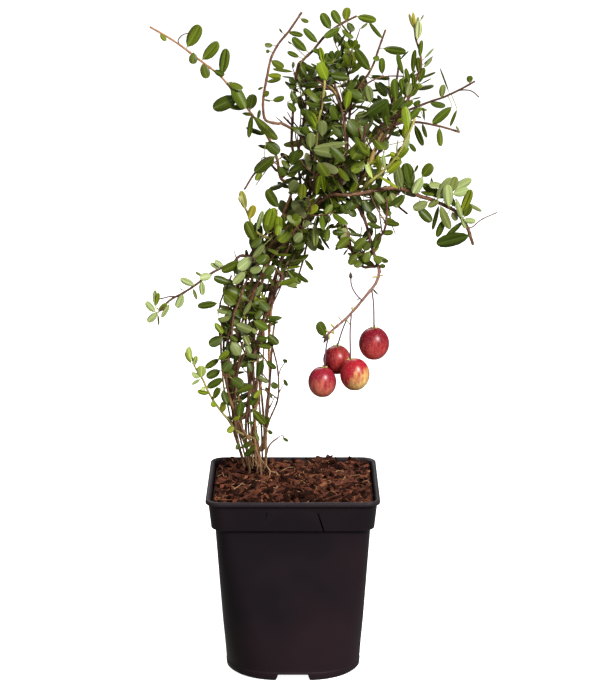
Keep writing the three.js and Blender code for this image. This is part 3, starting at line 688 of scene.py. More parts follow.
# Stems and boughs. Thin woody runners rise as one loose rope from the back left of the pot, arch over
# to the right and part into boughs. Their thin bark is grey-brown and flaking at the foot, red-brown
# higher up, with a small swelling at each old leaf.
STEM_COUNT = 8
STEM_STEPS = 13
STEP_LENGTH = 10
FIRST_STEP = 1.5
CLEAR = 0.3
LIMB_GAP = 0.6
PARTING_PASSES = 60
FIXED_POINTS = 2
BUNDLE_TWIST = 110
SPINE = (
    (-19, 22, 92), (-23, 22, 121), (-24, 22, 146), (-24, 21, 171),
    (-20, 20, 193), (-13, 19, 214), (-2, 18, 230), (10, 17, 242),
)
BUNDLE_RADII = (6.5, 11, 14, 14, 13, 11, 9, 8)
STEM_ENDS = (1, 1, 0.96, 0.88, 0.93, 1, 1, 0.76)


class SmoothCurve:
    """A Catmull-Rom curve through its points."""

    def __init__(self, points):
        inner = np.array(points, float)
        self.knots = np.vstack([2 * inner[0] - inner[1], inner, 2 * inner[-1] - inner[-2]])
        self.spans = len(inner) - 1

    def at(self, t):
        """The place or places at a share of the curve."""
        place = np.clip(np.asarray(t, float), 0, 1) * self.spans
        k = np.minimum(place.astype(int), self.spans - 1)
        w = (place - k)[..., None]
        before, here, there, after = (self.knots[k + i] for i in range(4))
        leaving, reaching = 0.5 * (there - before), 0.5 * (after - here)
        square = -3 * here + 3 * there - 2 * leaving - reaching
        cube = 2 * here - 2 * there + leaving + reaching
        return here + leaving * w + square * w**2 + cube * w**3

    def way(self, t):
        """The direction at a share of the curve."""
        step = self.at(min(t + 1e-4, 1)) - self.at(max(t - 1e-4, 0))
        return step / np.linalg.norm(step)

    def run(self):
        """Places along the curve and the length up to each."""
        fine = np.linspace(0, 1, 201)
        steps = np.linalg.norm(np.diff(self.at(fine), axis=0), axis=1)
        return fine, np.concatenate([[0], np.cumsum(steps)])

    def spaced(self, count):
        """Evenly spaced places along the curve."""
        fine, run = self.run()
        return self.at(np.interp(np.linspace(0, run[-1], count + 1), run, fine))


class Limb:
    """A tapering limb through points a few millimetres apart, as in the solids."""

    def __init__(self, points, foot, tip):
        self.points = np.array(points, float)
        self.root = self.points[0]
        self.foot = foot
        self.tip = tip
        self.curve = SmoothCurve(self.points)

    def width_at(self, t):
        return mix(self.foot, self.tip, t)

    def at(self, t):
        place = t * (len(self.points) - 1)
        k = min(int(place), len(self.points) - 2)
        return mix(self.points[k], self.points[k + 1], place - k)

    def along(self, t):
        reach = 0.5 / (len(self.points) - 1)
        way = self.at(min(1, t + reach)) - self.at(max(0, t - reach))
        return way / np.linalg.norm(way)

    def length(self):
        return np.linalg.norm(np.diff(self.points, axis=0), axis=1).sum()


def nearest_places(start, end, starts, ends):
    """Nearest places on one stretch and on each of the others, and the gaps between them."""
    d1, d2, r = end - start, ends - starts, start - starts
    a, e, f = d1 @ d1, np.einsum("ij,ij->i", d2, d2), np.einsum("ij,ij->i", d2, r)
    b, c = d2 @ d1, r @ d1
    spread = a * e - b * b
    s = np.clip((b * f - c * e) / np.where(spread == 0, 1, spread), 0, 1)
    t = (b * s + f) / e
    s = np.where(t < 0, np.clip(-c / a, 0, 1), np.where(t > 1, np.clip((b - c) / a, 0, 1), s))
    mine = start + s[:, None] * d1
    theirs = starts + np.clip(t, 0, 1)[:, None] * d2
    return mine, theirs, np.linalg.norm(mine - theirs, axis=1)


# Every stretch of limb laid so far, with its radius, and the limbs by name
stretches = []
limbs = {}


def part_from_others(points, radius):
    """Pushes a limb clear of the limbs laid so far, stretch by stretch, past its fixed points."""
    if not stretches:
        return
    starts, ends, radii = (np.array(column) for column in zip(*stretches))
    wanted = radius + radii + LIMB_GAP
    for _ in range(PARTING_PASSES):
        pushed = False
        for k in range(FIXED_POINTS, len(points)):
            done = 0
            while done < len(wanted):
                mine, theirs, gap = nearest_places(points[k - 1], points[k], starts[done:], ends[done:])
                close = np.flatnonzero(gap < wanted[done:])
                if not len(close):
                    break
                j = close[0]
                push = mine[j] - theirs[j] if gap[j] > 0.01 else np.array([0.0, -1, 0])
                push *= (wanted[done + j] - gap[j]) * 0.6 / np.linalg.norm(push)
                points[k] += push
                if k > FIXED_POINTS:
                    points[k - 1] += push
                pushed = True
                done += j + 1
        if not pushed:
            break


def lay_limb(name, points, foot, tip):
    """Keeps a limb under its name, parted from those laid before it."""
    points = np.array(points, float)
    part_from_others(points, foot)
    limb = Limb(points, foot, tip)
    for k in range(1, len(points)):
        stretches.append((points[k - 1], points[k], limb.width_at((k - 1) / (len(points) - 1))))
    limbs[name] = limb
    return limb


def in_bundle(t, share, degrees):
    """A place in the bundle: how far up its spine, how far out from it, and round which way."""
    spine = SmoothCurve(SPINE)
    along = spine.way(t)
    right = np.cross((0, 1, 0), along)
    right /= np.linalg.norm(right)
    back = np.cross(along, right)
    place = min(t, 0.999) * (len(BUNDLE_RADII) - 1)
    k = int(place)
    out = share * mix(BUNDLE_RADII[k], BUNDLE_RADII[k + 1], place - k)
    turn = math.radians(degrees + BUNDLE_TWIST * t)
    return spine.at(t) + right * out * math.cos(turn) + back * out * math.sin(turn)


def branch(name, parent, t, through, foot, tip):
    """A limb from its parent's tip or side through the points that it makes for."""
    limb = limbs[parent]
    start, along = limb.at(t), limb.along(t)
    if t == 1:
        first = start + along * CLEAR
        second = first + along * FIRST_STEP
    else:
        side = square_to(np.array(through[0], float) - start, along)
        first = start + side * (limb.width_at(t) + CLEAR)
        second = first + side * FIRST_STEP
    curve = SmoothCurve([second, *through])
    steps = max(2, int(curve.run()[1][-1] / STEP_LENGTH + 0.5))
    laid = lay_limb(name, [first, *curve.spaced(steps)], foot, tip)
    laid.root = limb.curve.at(t)
    return laid


for i in range(STEM_COUNT):
    share = math.sqrt((i + 0.5) / STEM_COUNT)
    steps = [STEM_ENDS[i] * k / STEM_STEPS for k in range(STEM_STEPS + 1)]
    lay_limb(f"stem_{i + 1}", [in_bundle(t, share, i * GOLDEN_ANGLE) for t in steps], 0.95, 0.6)

# Boughs: name, the limb it leaves, where along that, and the points that it makes for
BOUGHS = (
    ("bough_arm_right", "stem_1", 1, ((18, 12, 247), (28, 8, 250), (37, 6, 254))),
    ("bough_rise_centre", "stem_2", 1, ((21, 19, 253), (28, 20, 268), (27, 18, 293))),
    ("bough_loop", "stem_3", 1, ((9, 12, 261), (9, 8, 276), (-2, 2, 287), (-15, 0, 292))),
    ("bough_left_upper", "stem_4", 1, ((-6, 24, 255), (-10, 21, 273), (-21, 14, 294))),
    ("bough_crown_left", "stem_5", 1, ((4, 27, 256), (0, 28, 272), (-1, 24, 289))),
    ("bough_crown_back", "stem_6", 1, ((17, 30, 252), (24, 42, 266), (26, 46, 282))),
    ("bough_back_right", "stem_7", 1, ((22, 25, 250), (36, 34, 258), (47, 38, 270))),
    ("bough_rise_right", "bough_arm_right", 0.9, ((37, 3, 262), (41, 2, 272), (46, 6, 283))),
    ("bough_hang", "bough_arm_right", 0.82, ((37, -1, 240), (41, -6, 225), (45, -8, 213))),
)
for name, parent, t, through in BOUGHS:
    branch(name, parent, t, through, 0.75, 0.55)

def bark_nodes():
    """Bark: fibres along the stem, lifted as grey flakes where it is old, over its colour at a height."""
    tree, given, result = new_group(
        "bark",
        [("Young", "Color"), ("Old", "Color"), ("Flake", "Color"), ("Flaking", "Float")],
        [("Color", "Color"), ("Height", "Float")],
    )
    own_map = add_node(tree, "UVMap", uv_map="along")
    stretch = add_node(tree, "Mapping", {"Vector": (own_map, "UV")}, Scale=(5.0, 1.3, 1.0))
    fibres = add_node(
        tree, "TexNoise", {"Vector": (stretch, "Vector")}, Scale=3.0, Detail=4.0, Roughness=0.6
    )
    place = add_node(tree, "TexCoord")
    heights = add_node(tree, "SeparateXYZ", {"Vector": (place, "Object")})
    age = add_node(tree, "MapRange", {"Value": (heights, "Z")}, From_Min=0.1, From_Max=0.2)
    patches = add_node(tree, "TexNoise", {"Vector": (place, "Object")}, Scale=130.0, Detail=2.0)
    uneven = add_node(
        tree, "MapRange", {"Value": (patches, "Fac")}, From_Min=0.35, From_Max=0.65, To_Min=-0.45,
        To_Max=0.45,
    )
    total = add_node(
        tree, "Math", {0: (age, "Result"), 1: (uneven, "Result")}, operation="ADD", use_clamp=True
    )
    tone = add_node(tree, "Mix", {0: (total, 0), 6: (given, "Old"), 7: (given, "Young")}, data_type="RGBA")
    flakes = add_node(tree, "MapRange", {"Value": (fibres, "Fac")}, From_Min=0.52, From_Max=0.66)
    share = add_node(
        tree, "Math", {0: (flakes, "Result"), 1: (given, "Flaking")}, operation="MULTIPLY", use_clamp=True
    )
    mixed = add_node(tree, "Mix", {0: (share, 0), 6: (tone, 2), 7: (given, "Flake")}, data_type="RGBA")
    feed(tree, result, {"Color": (mixed, 2), "Height": (fibres, "Fac")})
    return tree


bark_group = bark_nodes()


def bark_finish(name, young, old, flake, flaking, roughness):
    """Bark that goes from its old colour to its young one with height, and flakes."""
    values = {"Young": (*young, 1), "Old": (*old, 1), "Flake": (*flake, 1), "Flaking": flaking}
    return surfaced(principled(name, roughness, 0.16), bark_group, values, "Height", 0.7, 0.0003)


bark_finishes = [
    bark_finish("bark_red_brown", (0.095, 0.036, 0.020), (0.21, 0.105, 0.05), (0.46, 0.31, 0.17), 0.6, 0.62),
    bark_finish("bark_tan", (0.30, 0.125, 0.052), (0.34, 0.20, 0.085), (0.62, 0.46, 0.27), 0.7, 0.66),
    bark_finish("bark_dark", (0.068, 0.028, 0.019), (0.16, 0.08, 0.045), (0.30, 0.19, 0.11), 0.45, 0.6),
    bark_finish("bark_straw", (0.30, 0.20, 0.06), (0.36, 0.28, 0.10), (0.55, 0.42, 0.2), 0.5, 0.6),
]


OLD_LEAF_GAP = 6.3
FLARE_LENGTH = 9


def bark_relief(path, sides, seed, flare=0.0):
    """A factor for each corner: a swelling at each old leaf, uneven ridges, and a flared foot."""
    run = np.concatenate([[0], np.cumsum(np.linalg.norm(np.diff(path, axis=0), axis=1))])
    radii = []
    for place, point in zip(run, path):
        width = 1 + 0.2 * max(0, math.cos(2 * math.pi * place / OLD_LEAF_GAP + seed)) ** 6
        width *= 1 + flare * max(0, 1 - place / FLARE_LENGTH)
        ridges = [
            1 + 0.2 * noise.noise(Vector((seed * 7.3 + 1.9 * math.cos(a), place * 0.45, 1.9 * math.sin(a))))
            for a in 2 * np.pi * np.arange(sides) / sides
        ]
        radii.append(width * np.array(ridges))
    return radii


# Finer strands wind through the bundle across the stems: angle at the foot, twist, how far out, and end
STRANDS = (
    (155, 160, 1.05, 0.92),
    (200, -190, 0.8, 1.0),
    (240, 210, 0.65, 0.8),
    (285, -150, 0.6, 0.95),
    (330, 240, 0.8, 0.9),
    (105, 130, 0.9, 0.7),
    (180, -60, 1.12, 0.62),
    (225, 90, 0.35, 1.0),
    (265, -320, 1.05, 0.85),
)
strands = []
for angle, twist, share, end in STRANDS:
    places = [end * k / STEM_STEPS for k in range(STEM_STEPS + 1)]
    inward = [0.6 + 0.4 * min(1, t / 0.45) for t in places]
    line = [in_bundle(t, share * close, angle + twist * t) for t, close in zip(places, inward)]
    strands.append(Limb(line, 0.46, 0.3))


# Twigs. Each bough and stem carries long leafy twigs, and these carry short side shoots. They are cut
# from the same wood: dark red where young, tan where bare, and pale green at a growing tip.
SEED = 600
FINE_SEED = 300
# Sprays: name, the limb it leaves, where along that, leaf size, side shoots, kind of leaf, and its points
SPRAYS = (
    (
        "arm_right", "bough_arm_right", 1, 12.5, 4, "mid",
        ((56, 4, 255), (69, 2, 252), (82, 0, 246), (90, -2, 239), (94, -4, 227)),
    ),
    ("right_upper", "bough_rise_right", 1, 11.5, 1, "mid", ((58, 4, 293), (73, 0, 301), (93, -4, 312))),
    ("right_middle", "bough_rise_right", 0.86, 11, 0, "mid", ((57, 12, 287), (70, 15, 288), (88, 16, 283))),
    ("centre", "bough_rise_centre", 1, 11, 3, "dark", ((23, 20, 301), (17, 24, 306), (8, 28, 310))),
    ("top_right", "bough_rise_centre", 0.93, 12.5, 2, "mid", ((34, 16, 304), (40, 12, 317), (48, 12, 337))),
    ("crown_top", "bough_rise_centre", 0.8, 11, 4, "dark", ((30, 26, 300), (28, 29, 318), (30, 26, 334))),
    ("leader", "bough_loop", 0.42, 11, 2, "dark", ((13, 0, 289), (16, -3, 305), (16, -3, 320))),
    ("loop", "bough_loop", 1, 8.5, 0, "mid", ((-15, -2, 305), (-13, -3, 319), (6, 0, 345))),
    ("left_runner", "bough_left_upper", 1, 11, 0, "dark", ((-27, 12, 304), (-51, 6, 326), (-72, 2, 339))),
    ("small_left", "bough_left_upper", 0.5, 10, 0, "dark", ((-14, 13, 267), (-19, 9, 263), (-25, 7, 254))),
    ("top_left", "bough_crown_left", 1, 11, 1, "mid", ((-3, 21, 304), (4, 16, 318), (32, 8, 343))),
    ("crown_left", "bough_crown_left", 0.72, 10, 4, "dark", ((6, 22, 290), (7, 16, 303), (6, 14, 314))),
    ("crown_low", "bough_crown_left", 0.36, 11, 3, "dark", ((10, 30, 266), (16, 33, 276), (19, 33, 290))),
    ("back_top", "bough_crown_back", 1, 11, 3, "dark", ((25, 48, 294), (21, 47, 308), (19, 43, 320))),
    ("back_left", "bough_crown_back", 0.6, 11, 3, "mid", ((15, 47, 268), (5, 51, 276), (-5, 52, 286))),
    ("back_right", "bough_back_right", 1, 11, 3, "mid", ((53, 39, 281), (57, 36, 294), (62, 32, 305))),
    ("upright", "bough_rise_right", 0.62, 12, 2, "dark", ((48, 12, 288), (53, 14, 306), (55, 14, 322))),
    (
        "pale_tip", "bough_rise_right", 0.75, 10, 1, "mid",
        ((52, -2, 287), (59, -5, 301), (63, -4, 330), (63, -2, 344)),
    ),
    (
        "yellow_right", "bough_rise_right", 0.2, 11, 1, "fresh",
        ((47, -6, 266), (55, -11, 277), (62, -12, 293)),
    ),
    ("front", "bough_rise_right", 0.4, 12, 3, "mid", ((38, -7, 270), (36, -12, 279), (37, -14, 290))),
    ("centre_front", "bough_loop", 0.25, 12.5, 2, "dark", ((12, 2, 262), (19, -5, 270), (25, -7, 279))),
    ("centre_low", "bough_arm_right", 0.45, 11.5, 2, "dark", ((25, 1, 256), (22, -4, 264), (14, -6, 270))),
    ("arm_under", "bough_arm_right", 0.3, 11, 2, "mid", ((24, 6, 240), (28, 1, 234), (29, -1, 226))),
    ("arm_back", "bough_arm_right", 0.6, 11.5, 3, "dark", ((38, 15, 250), (49, 19, 247), (60, 20, 239))),
    ("hang_left", "bough_hang", 0.93, 10, 2, "mid", ((38, -3, 213), (31, 2, 221), (29, 5, 232))),
    ("hang_right", "bough_hang", 0.7, 11, 1, "dark", ((46, -9, 232), (48, -11, 243), (48, -10, 252))),
    ("under_arch", "stem_7", 0.92, 12, 2, "dark", ((9, 24, 224), (6, 23, 216), (3, 21, 206))),
    ("mid_left", "stem_8", 1, 10, 2, "pale", ((-24, 9, 217), (-35, 5, 213), (-56, 0, 201), (-74, -5, 188))),
    (
        "low_left", "stem_3", 0.13, 8.5, 0, "pale",
        ((-32, 8, 129), (-40, 3, 141), (-50, 0, 160), (-55, 0, 170)),
    ),
    ("left_tip", "stem_4", 0.9, 10, 1, "olive", ((-18, 12, 232), (-22, 9, 241), (-25, 8, 251))),
    ("knee_front", "stem_2", 0.85, 10.5, 2, "fresh", ((-7, 6, 231), (-10, 3, 239), (-13, 2, 246))),
    ("knee_right", "stem_1", 0.86, 12, 2, "mid", ((3, 8, 236), (9, 2, 242), (8, -3, 251))),
)
# Shoots that climb in the bundle: round which way, and from which share of the spine to which
BUNDLE_SHOOTS = (
    (210, 0.1, 0.44), (300, 0.16, 0.52), (30, 0.08, 0.42),
    (120, 0.14, 0.5), (250, 0.42, 0.76), (70, 0.44, 0.78),
)
RUNNER = ((45, -9, 207), (40, -11, 202), (33, -12, 195), (25, -13, 188), (16, -14, 178))


def nearest_on_stem(point):
    """The stem and the place on it that are nearest to a point."""
    found = []
    for k in range(1, STEM_COUNT + 1):
        stem = limbs[f"stem_{k}"]
        found += [(np.linalg.norm(stem.at(t) - point), f"stem_{k}", t) for t in np.arange(0, 1, 0.01)]
    return min(found)[1:]


twigs = [("fruiting_runner", 7, 0, "mid", branch("fruiting_runner", "bough_hang", 1, RUNNER, 0.55, 0.3))]
for name, parent, t, size, forks, tint, through in SPRAYS:
    twigs.append(("spray_" + name, size, forks, tint, branch("spray_" + name, parent, t, through, 0.55, 0.3)))
for i, (angle, low, high) in enumerate(BUNDLE_SHOOTS):
    parent, t = nearest_on_stem(in_bundle(low, 0.9, angle))
    rise = [in_bundle(mix(low, high, step), 0.95, angle) for step in (0.12, 0.45, 0.75, 1)]
    name = f"spray_bundle_{i + 1}"
    twigs.append((name, 11, 2, ("dark", "mid", "dark")[i % 3], branch(name, parent, t, rise, 0.55, 0.3)))


def turned(vector, axis, angle):
    """The vector turned about a unit axis."""
    return np.array(Matrix.Rotation(angle, 3, Vector(axis)) @ Vector(vector))


def side_shoots(twig, count, size, draw):
    """Side shoots fan out from a twig, short and tilted a little upwards."""
    shoots = []
    for i in range(count):
        t = mix(0.12, 0.82, (i + 0.5) / count) + 0.06 * (next(draw) - 0.5)
        along, start = twig.along(t), twig.at(t)
        out = np.cross((0, 0, 1), along)
        if np.linalg.norm(out) < 0.2:
            out = np.array([1.0, 0, 0])
        out = turned(out / np.linalg.norm(out), along, math.radians(i * GOLDEN_ANGLE + 90 * next(draw)))
        length = size * mix(1.1, 1.9, next(draw))
        bend = 0.75 * out + 0.6 * along
        bend[2] += 0.25
        bend /= np.linalg.norm(bend)
        middle = start + 0.55 * length * bend + 0.06 * length * out
        shoots.append(Limb([start, middle, start + length * bend], 0.42, 0.3))
    return shoots


OPEN_SIDES_TOP = 240


def past_bundle(point):
    """Beyond the open left or right side of the bundle, seen from the front."""
    x, _, z = point
    if z > OPEN_SIDES_TOP:
        return False
    left = np.interp(z, (100, 128, 171, 200, 228, OPEN_SIDES_TOP), (-30, -35, -41, -38, -29, -26))
    right = np.interp(z, (100, 190, 198, 216, 217), (-9, -6, 6, 14, 90))
    return x < left or x > right


# How many finer side shoots a twig has, where that isn't one more than its other side shoots
FINE_SHOOTS = {
    "fruiting_runner": 0, "spray_small_left": 0, "spray_leader": 1,
    "spray_bundle_1": 1, "spray_bundle_3": 0, "spray_bundle_4": 0, "spray_bundle_6": 1,
}
leafy = []
for i, (name, size, forks, tint, twig) in enumerate(twigs):
    draw = numbers(SEED + i)
    shoots = side_shoots(twig, forks, size, draw)
    shoots += side_shoots(twig, FINE_SHOOTS.get(name, forks + 1), size * 0.8, numbers(SEED + FINE_SEED + i))
    sizes = [size * 0.95] * forks + [size * 0.85] * (len(shoots) - forks)
    kept = [(shoot, its_size) for shoot, its_size in zip(shoots, sizes) if not past_bundle(shoot.points[-1])]
    leafy.append((name, size, tint, twig, kept, draw))

# A limb that leaves its parent's tip carries on as one length of wood with it
tip_children = {"bough_arm_right": "spray_arm_right"}
for name, parent, t, _ in BOUGHS:
    if t == 1:
        tip_children[parent] = name
for name, parent, t, *_ in SPRAYS:
    if t == 1:
        tip_children[parent] = "spray_" + name
del tip_children["bough_rise_right"]
carried_on = {"fruiting_runner", *tip_children.values()}


# Long twigs that stand out, drawn bend by bend. Their leaves are set leaves too, with no side shoots
FINER_LINES = {
    "bough_arm_right": ((13, 10, 247.5), (18, 4, 250.5), (25, -2, 252.3), (31, -4, 252.8), (37, -4, 254)),
    "spray_left_runner": (
        (-13, 10, 278), (-17, 9, 286.5), (-22, 8, 294), (-28.5, 7, 301.5), (-33.5, 6, 308.5),
        (-38.5, 5, 314), (-47.5, 4, 321), (-60, 3, 330.5), (-72.5, 2, 338),
    ),
    "spray_loop": (
        (-0.5, 0, 286.5), (-7.5, -1, 289), (-13.5, -1, 290.5), (-15, -2, 295), (-15, -2, 302.5),
        (-13, -2, 313.5), (-11, -1, 322.5), (-7, 0, 330), (-2, 0, 336), (4.5, 0, 345.5),
    ),
    "spray_top_left": (
        (0, 20, 307), (2, 18, 313.5), (5.5, 16, 320), (10.5, 14, 325), (15.5, 12, 331.5),
        (21, 10, 336.5), (26.5, 9, 340), (32.5, 8, 343),
    ),
    "spray_top_right": (
        (27, 16, 291.5), (30.5, 16, 298.5), (34.5, 15, 306.5), (39, 14, 313), (41.5, 13, 318),
        (43.5, 12, 324), (45.5, 12, 330), (47.5, 12, 335.5),
    ),
    "spray_pale_tip": (
        (55.5, -3, 295.5), (59, -4, 302.5), (62, -5, 310), (65, -5, 318), (64.5, -4, 326),
        (62.5, -4, 332), (61.5, -3, 339),
    ),
    "spray_right_upper": (
        (43, 6, 285), (49, 5, 290), (55, 4, 293.5), (69, 2, 299.5), (77, 0, 302.5), (85, -2, 306.5),
        (92.5, -4, 311),
    ),
    "spray_right_middle": (
        (45, 8, 283.5), (50.5, 10, 286.5), (57.5, 12, 288), (63.5, 14, 288), (70, 15, 287),
        (78.5, 16, 285), (86.5, 16, 282.5),
    ),
    "spray_arm_right": (
        (44, -3, 255.5), (50, 1, 255.5), (55.5, 4, 254.5), (60.5, 4, 253.5), (65.5, 3, 251),
        (71, 2, 249.5), (76, 1, 247.5), (83.5, -1, 244), (86.5, -2, 241), (90, -3, 235.5), (93, -4, 227),
    ),
    "spray_mid_left": (
        (-19, 10, 223), (-25, 9, 218.5), (-31, 7, 215.5), (-36, 5, 213.5), (-43, 3, 210), (-49.5, 1, 205.5),
        (-56.5, -1, 201), (-62.5, -2, 198), (-66, -4, 195.5), (-69, -5, 192),
    ),
    "spray_low_left": (
        (-30, 9, 124), (-34.5, 7, 131), (-38, 6, 135.5), (-43.5, 4, 144.5), (-48, 2, 155),
        (-51.5, 1, 161), (-53.5, 0, 169),
    ),
    "spray_knee_front": ((-8, 8, 229), (-9.5, 7, 234), (-10, 7, 238)),
    "spray_left_tip": (
        (-12, 11, 227.5), (-16, 10, 229), (-19.5, 10, 231.5), (-22, 9, 236.5), (-24, 9, 242),
        (-26, 8, 246.5),
    ),
}
# Radius at the foot and at the tip, by name or by kind of limb
WOOD_WIDTHS = {
    "stem": (0.68, 0.76),
    "bough": (0.8, 0.72),
    "spray": (0.78, 0.56),
    "fruiting": (0.6, 0.4),
    "stem_1": (0.74, 0.95),
    "bough_arm_right": (0.92, 0.8),
    "spray_arm_right": (1.2, 0.85),
    "spray_left_runner": (0.62, 0.5),
    "bough_rise_right": (1.35, 1.1),
    "bough_hang": (0.85, 0.82),
}


def wood_length(name):
    """Points and widths of a limb and of all that carries on from its tip."""
    limb = limbs[name]
    foot, tip = WOOD_WIDTHS.get(name, WOOD_WIDTHS[name.split("_")[0]])
    points = [limb.root, *FINER_LINES.get(name, limb.points[1:])]
    widths = [mix(foot, tip, k / (len(points) - 1)) for k in range(len(points))]
    if name in tip_children:
        more_points, more_widths = wood_length(tip_children[name])
        points, widths = points[:-1] + more_points[2:], widths[:-1] + more_widths[2:]
    return points, widths


wood_places = []


def add_wood(bunch, points, widths, sides, step, finish, seed, flare=0.0):
    """Adds one length of wood and keeps its places, for leaves to stand on."""
    curve = SmoothCurve(points)
    fine, run = curve.run()
    count = max(3, int(run[-1] / step + 0.5))
    path = curve.spaced(count)
    shares = np.interp(np.linspace(0, run[-1], count + 1), run, fine)
    width = np.interp(shares, np.linspace(0, 1, len(points)), widths)
    wood_places.extend(path)
    relief = bark_relief(path, sides, seed, flare)
    bunch.add_tube(path, [wide * ring for wide, ring in zip(width, relief)], sides, finish)


woody = Bunch()
twig_wood = Bunch()
RED_BROWN, TAN, DARK_WOOD, STRAW, GREEN_WOOD = range(5)
WOOD_OF = {
    "stem_2": STRAW,
    "stem_4": TAN,
    "stem_6": TAN,
    "stem_7": DARK_WOOD,
    "stem_8": DARK_WOOD,
    "bough_rise_right": STRAW,
    "bough_hang": DARK_WOOD,
    "spray_top_right": RED_BROWN,
    "spray_pale_tip": RED_BROWN,
}
for name in ("low_left", "leader", "yellow_right", "left_tip", "knee_front"):
    WOOD_OF["spray_" + name] = GREEN_WOOD
FOOT_FLARE = 0.15
for i, name in enumerate(limbs):
    if name in carried_on:
        continue
    points, widths = wood_length(name)
    if name.startswith("spray_"):
        finish = WOOD_OF.get(name, (RED_BROWN, DARK_WOOD)[i % 2])
        add_wood(twig_wood, points, widths, 6, 2.0, finish, i)
    else:
        flare = FOOT_FLARE * name.startswith("stem_")
        add_wood(woody, points, widths, 9, 1.4, WOOD_OF.get(name, RED_BROWN), i, flare)
for i, strand in enumerate(strands):
    finish = (RED_BROWN, DARK_WOOD, TAN, DARK_WOOD)[i % 4]
    widths = np.linspace(0.55, 0.34, len(strand.points))
    add_wood(woody, strand.points, widths, 7, 1.8, finish, 60 + i)
for i, (name, size, tint, twig, shoots, draw) in enumerate(leafy):
    if name in FINER_LINES:
        continue
    for k, (shoot, _) in enumerate(shoots):
        finish = GREEN_WOOD if tint in ("fresh", "olive", "pale") else (RED_BROWN, DARK_WOOD)[(i + k) % 2]
        add_wood(twig_wood, shoot.points, [0.42, 0.36, 0.22], 5, 2.0, finish, 90 + 7 * i + k)

# Lone lengths that show between the others: old stems low in the bundle, red young ones across the
# crown, and dry tendrils that hang on after their leaves have gone. Wood, radius at each end, and way
LONE_LENGTHS = (
    (DARK_WOOD, 0.36, 0.22, (
        (-4, 7, 272), (-7.3, 6, 269.7), (-12.5, 6, 265.5), (-15.6, 6, 261.3), (-19.3, 6, 256.1),
    )),
    (DARK_WOOD, 0.36, 0.22, (
        (-5, 8, 264), (-8.4, 6, 267.1), (-11.5, 6, 269.7), (-15.6, 5, 270.8), (-16.7, 5, 267.1),
    )),
    (DARK_WOOD, 0.36, 0.3, ((82, -1, 305), (86, -2, 306.4), (91.1, -2, 305.9), (95, -2, 302.8))),
    (DARK_WOOD, 0.3, 0.26, ((-57, 3, 328), (-58.5, 3, 331), (-56, 3, 334), (-52, 3, 335))),
    (DARK_WOOD, 0.36, 0.26, ((90, -3, 236), (92.2, -3, 235.5), (97.3, -3, 239.7), (105.2, -3, 243.4))),
    (TAN, 0.4, 0.3, ((-22, 14, 128), (-22.7, 14, 110.8), (-16.3, 14, 100.8), (-11, 14, 93.4))),
    (TAN, 0.4, 0.3, ((-20, 14, 132), (-19.5, 12, 112.4), (-13.1, 12, 102.4), (-8, 10, 94))),
    (DARK_WOOD, 0.5, 0.45, (
        (-19.5, 11, 95), (-18.5, 11, 109.5), (-16.5, 11, 117), (-12.5, 11, 129.5), (-8, 11, 141.5),
        (-8, 10, 156.5), (-10.5, 9, 168.5), (-12.5, 8, 176.5),
    )),
    (DARK_WOOD, 0.42, 0.3, ((-8, 11, 141), (-13.5, 9, 145.5), (-18, 7, 148))),
    (DARK_WOOD, 0.5, 0.42, ((-16, 12, 95), (-14.5, 12, 108.5), (-12.5, 12, 115.5), (-8, 12, 119.5))),
    (DARK_WOOD, 0.3, 0.24, ((-8, 10.5, 152), (-6.6, 12, 157), (-4.5, 13, 160))),
    (DARK_WOOD, 0.3, 0.24, ((-8, 11, 143), (-6, 12, 147), (-4.5, 13, 149))),
    (DARK_WOOD, 0.3, 0.24, ((-8.6, 12, 119), (-6.6, 12.6, 120.5), (-4.5, 13, 120))),
    (DARK_WOOD, 0.5, 0.4, ((34, 5, 248), (41, 4, 249), (47, 3, 250), (55, 3, 252))),
    (RED_BROWN, 0.34, 0.28, ((-18, 6, 129), (-17.5, 5, 141), (-18, 4, 153), (-19, 6, 166))),
    (RED_BROWN, 0.62, 0.55, (
        (-16.5, 7, 95), (-18, 6, 110), (-22, 5, 118), (-28, 4, 129), (-33, 3, 142.5), (-35, 2, 153.5),
        (-34, 1, 163.5), (-32, 0, 178), (-31, -1, 188), (-28, 0, 196), (-24.5, 1, 206), (-18, 3, 216),
    )),
    (DARK_WOOD, 0.6, 0.45, (
        (25, 0, 256), (26.5, -5, 268), (27, -9, 276.5), (26, -9, 290), (24, -8, 300), (20, -5, 306.5),
        (15, 0, 310.5), (9.5, 4, 312),
    )),
    (DARK_WOOD, 0.5, 0.4, ((-32, 4, 209), (-35.5, 3, 201), (-37.5, 3, 196), (-38.5, 3, 191.5))),
    (DARK_WOOD, 0.42, 0.34, ((-60.5, -2, 199), (-64, -3, 199.2), (-67, -4, 198.6), (-70, -5, 198.2))),
    (RED_BROWN, 0.42, 0.34, ((33.5, 8, 305.5), (41.5, 4, 311), (48.5, 2, 313), (56.5, 2, 313))),
)
for i, (finish, foot, tip, points) in enumerate(LONE_LENGTHS):
    points = np.array(points, float)
    add_wood(twig_wood, points, np.linspace(foot, tip, len(points)), 6, 1.6, finish, 300 + i)
bark = woody.build("stems_and_boughs", bark_finishes)
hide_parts(*[name for name in limbs if name.startswith(("stem_", "bough_"))])
twig_finishes = [
    *bark_finishes,
    bark_finish("twig_green", (0.36, 0.31, 0.09), (0.3, 0.24, 0.09), (0.42, 0.38, 0.15), 0.4, 0.5),
]
twig_mesh = twig_wood.build("twigs", twig_finishes)

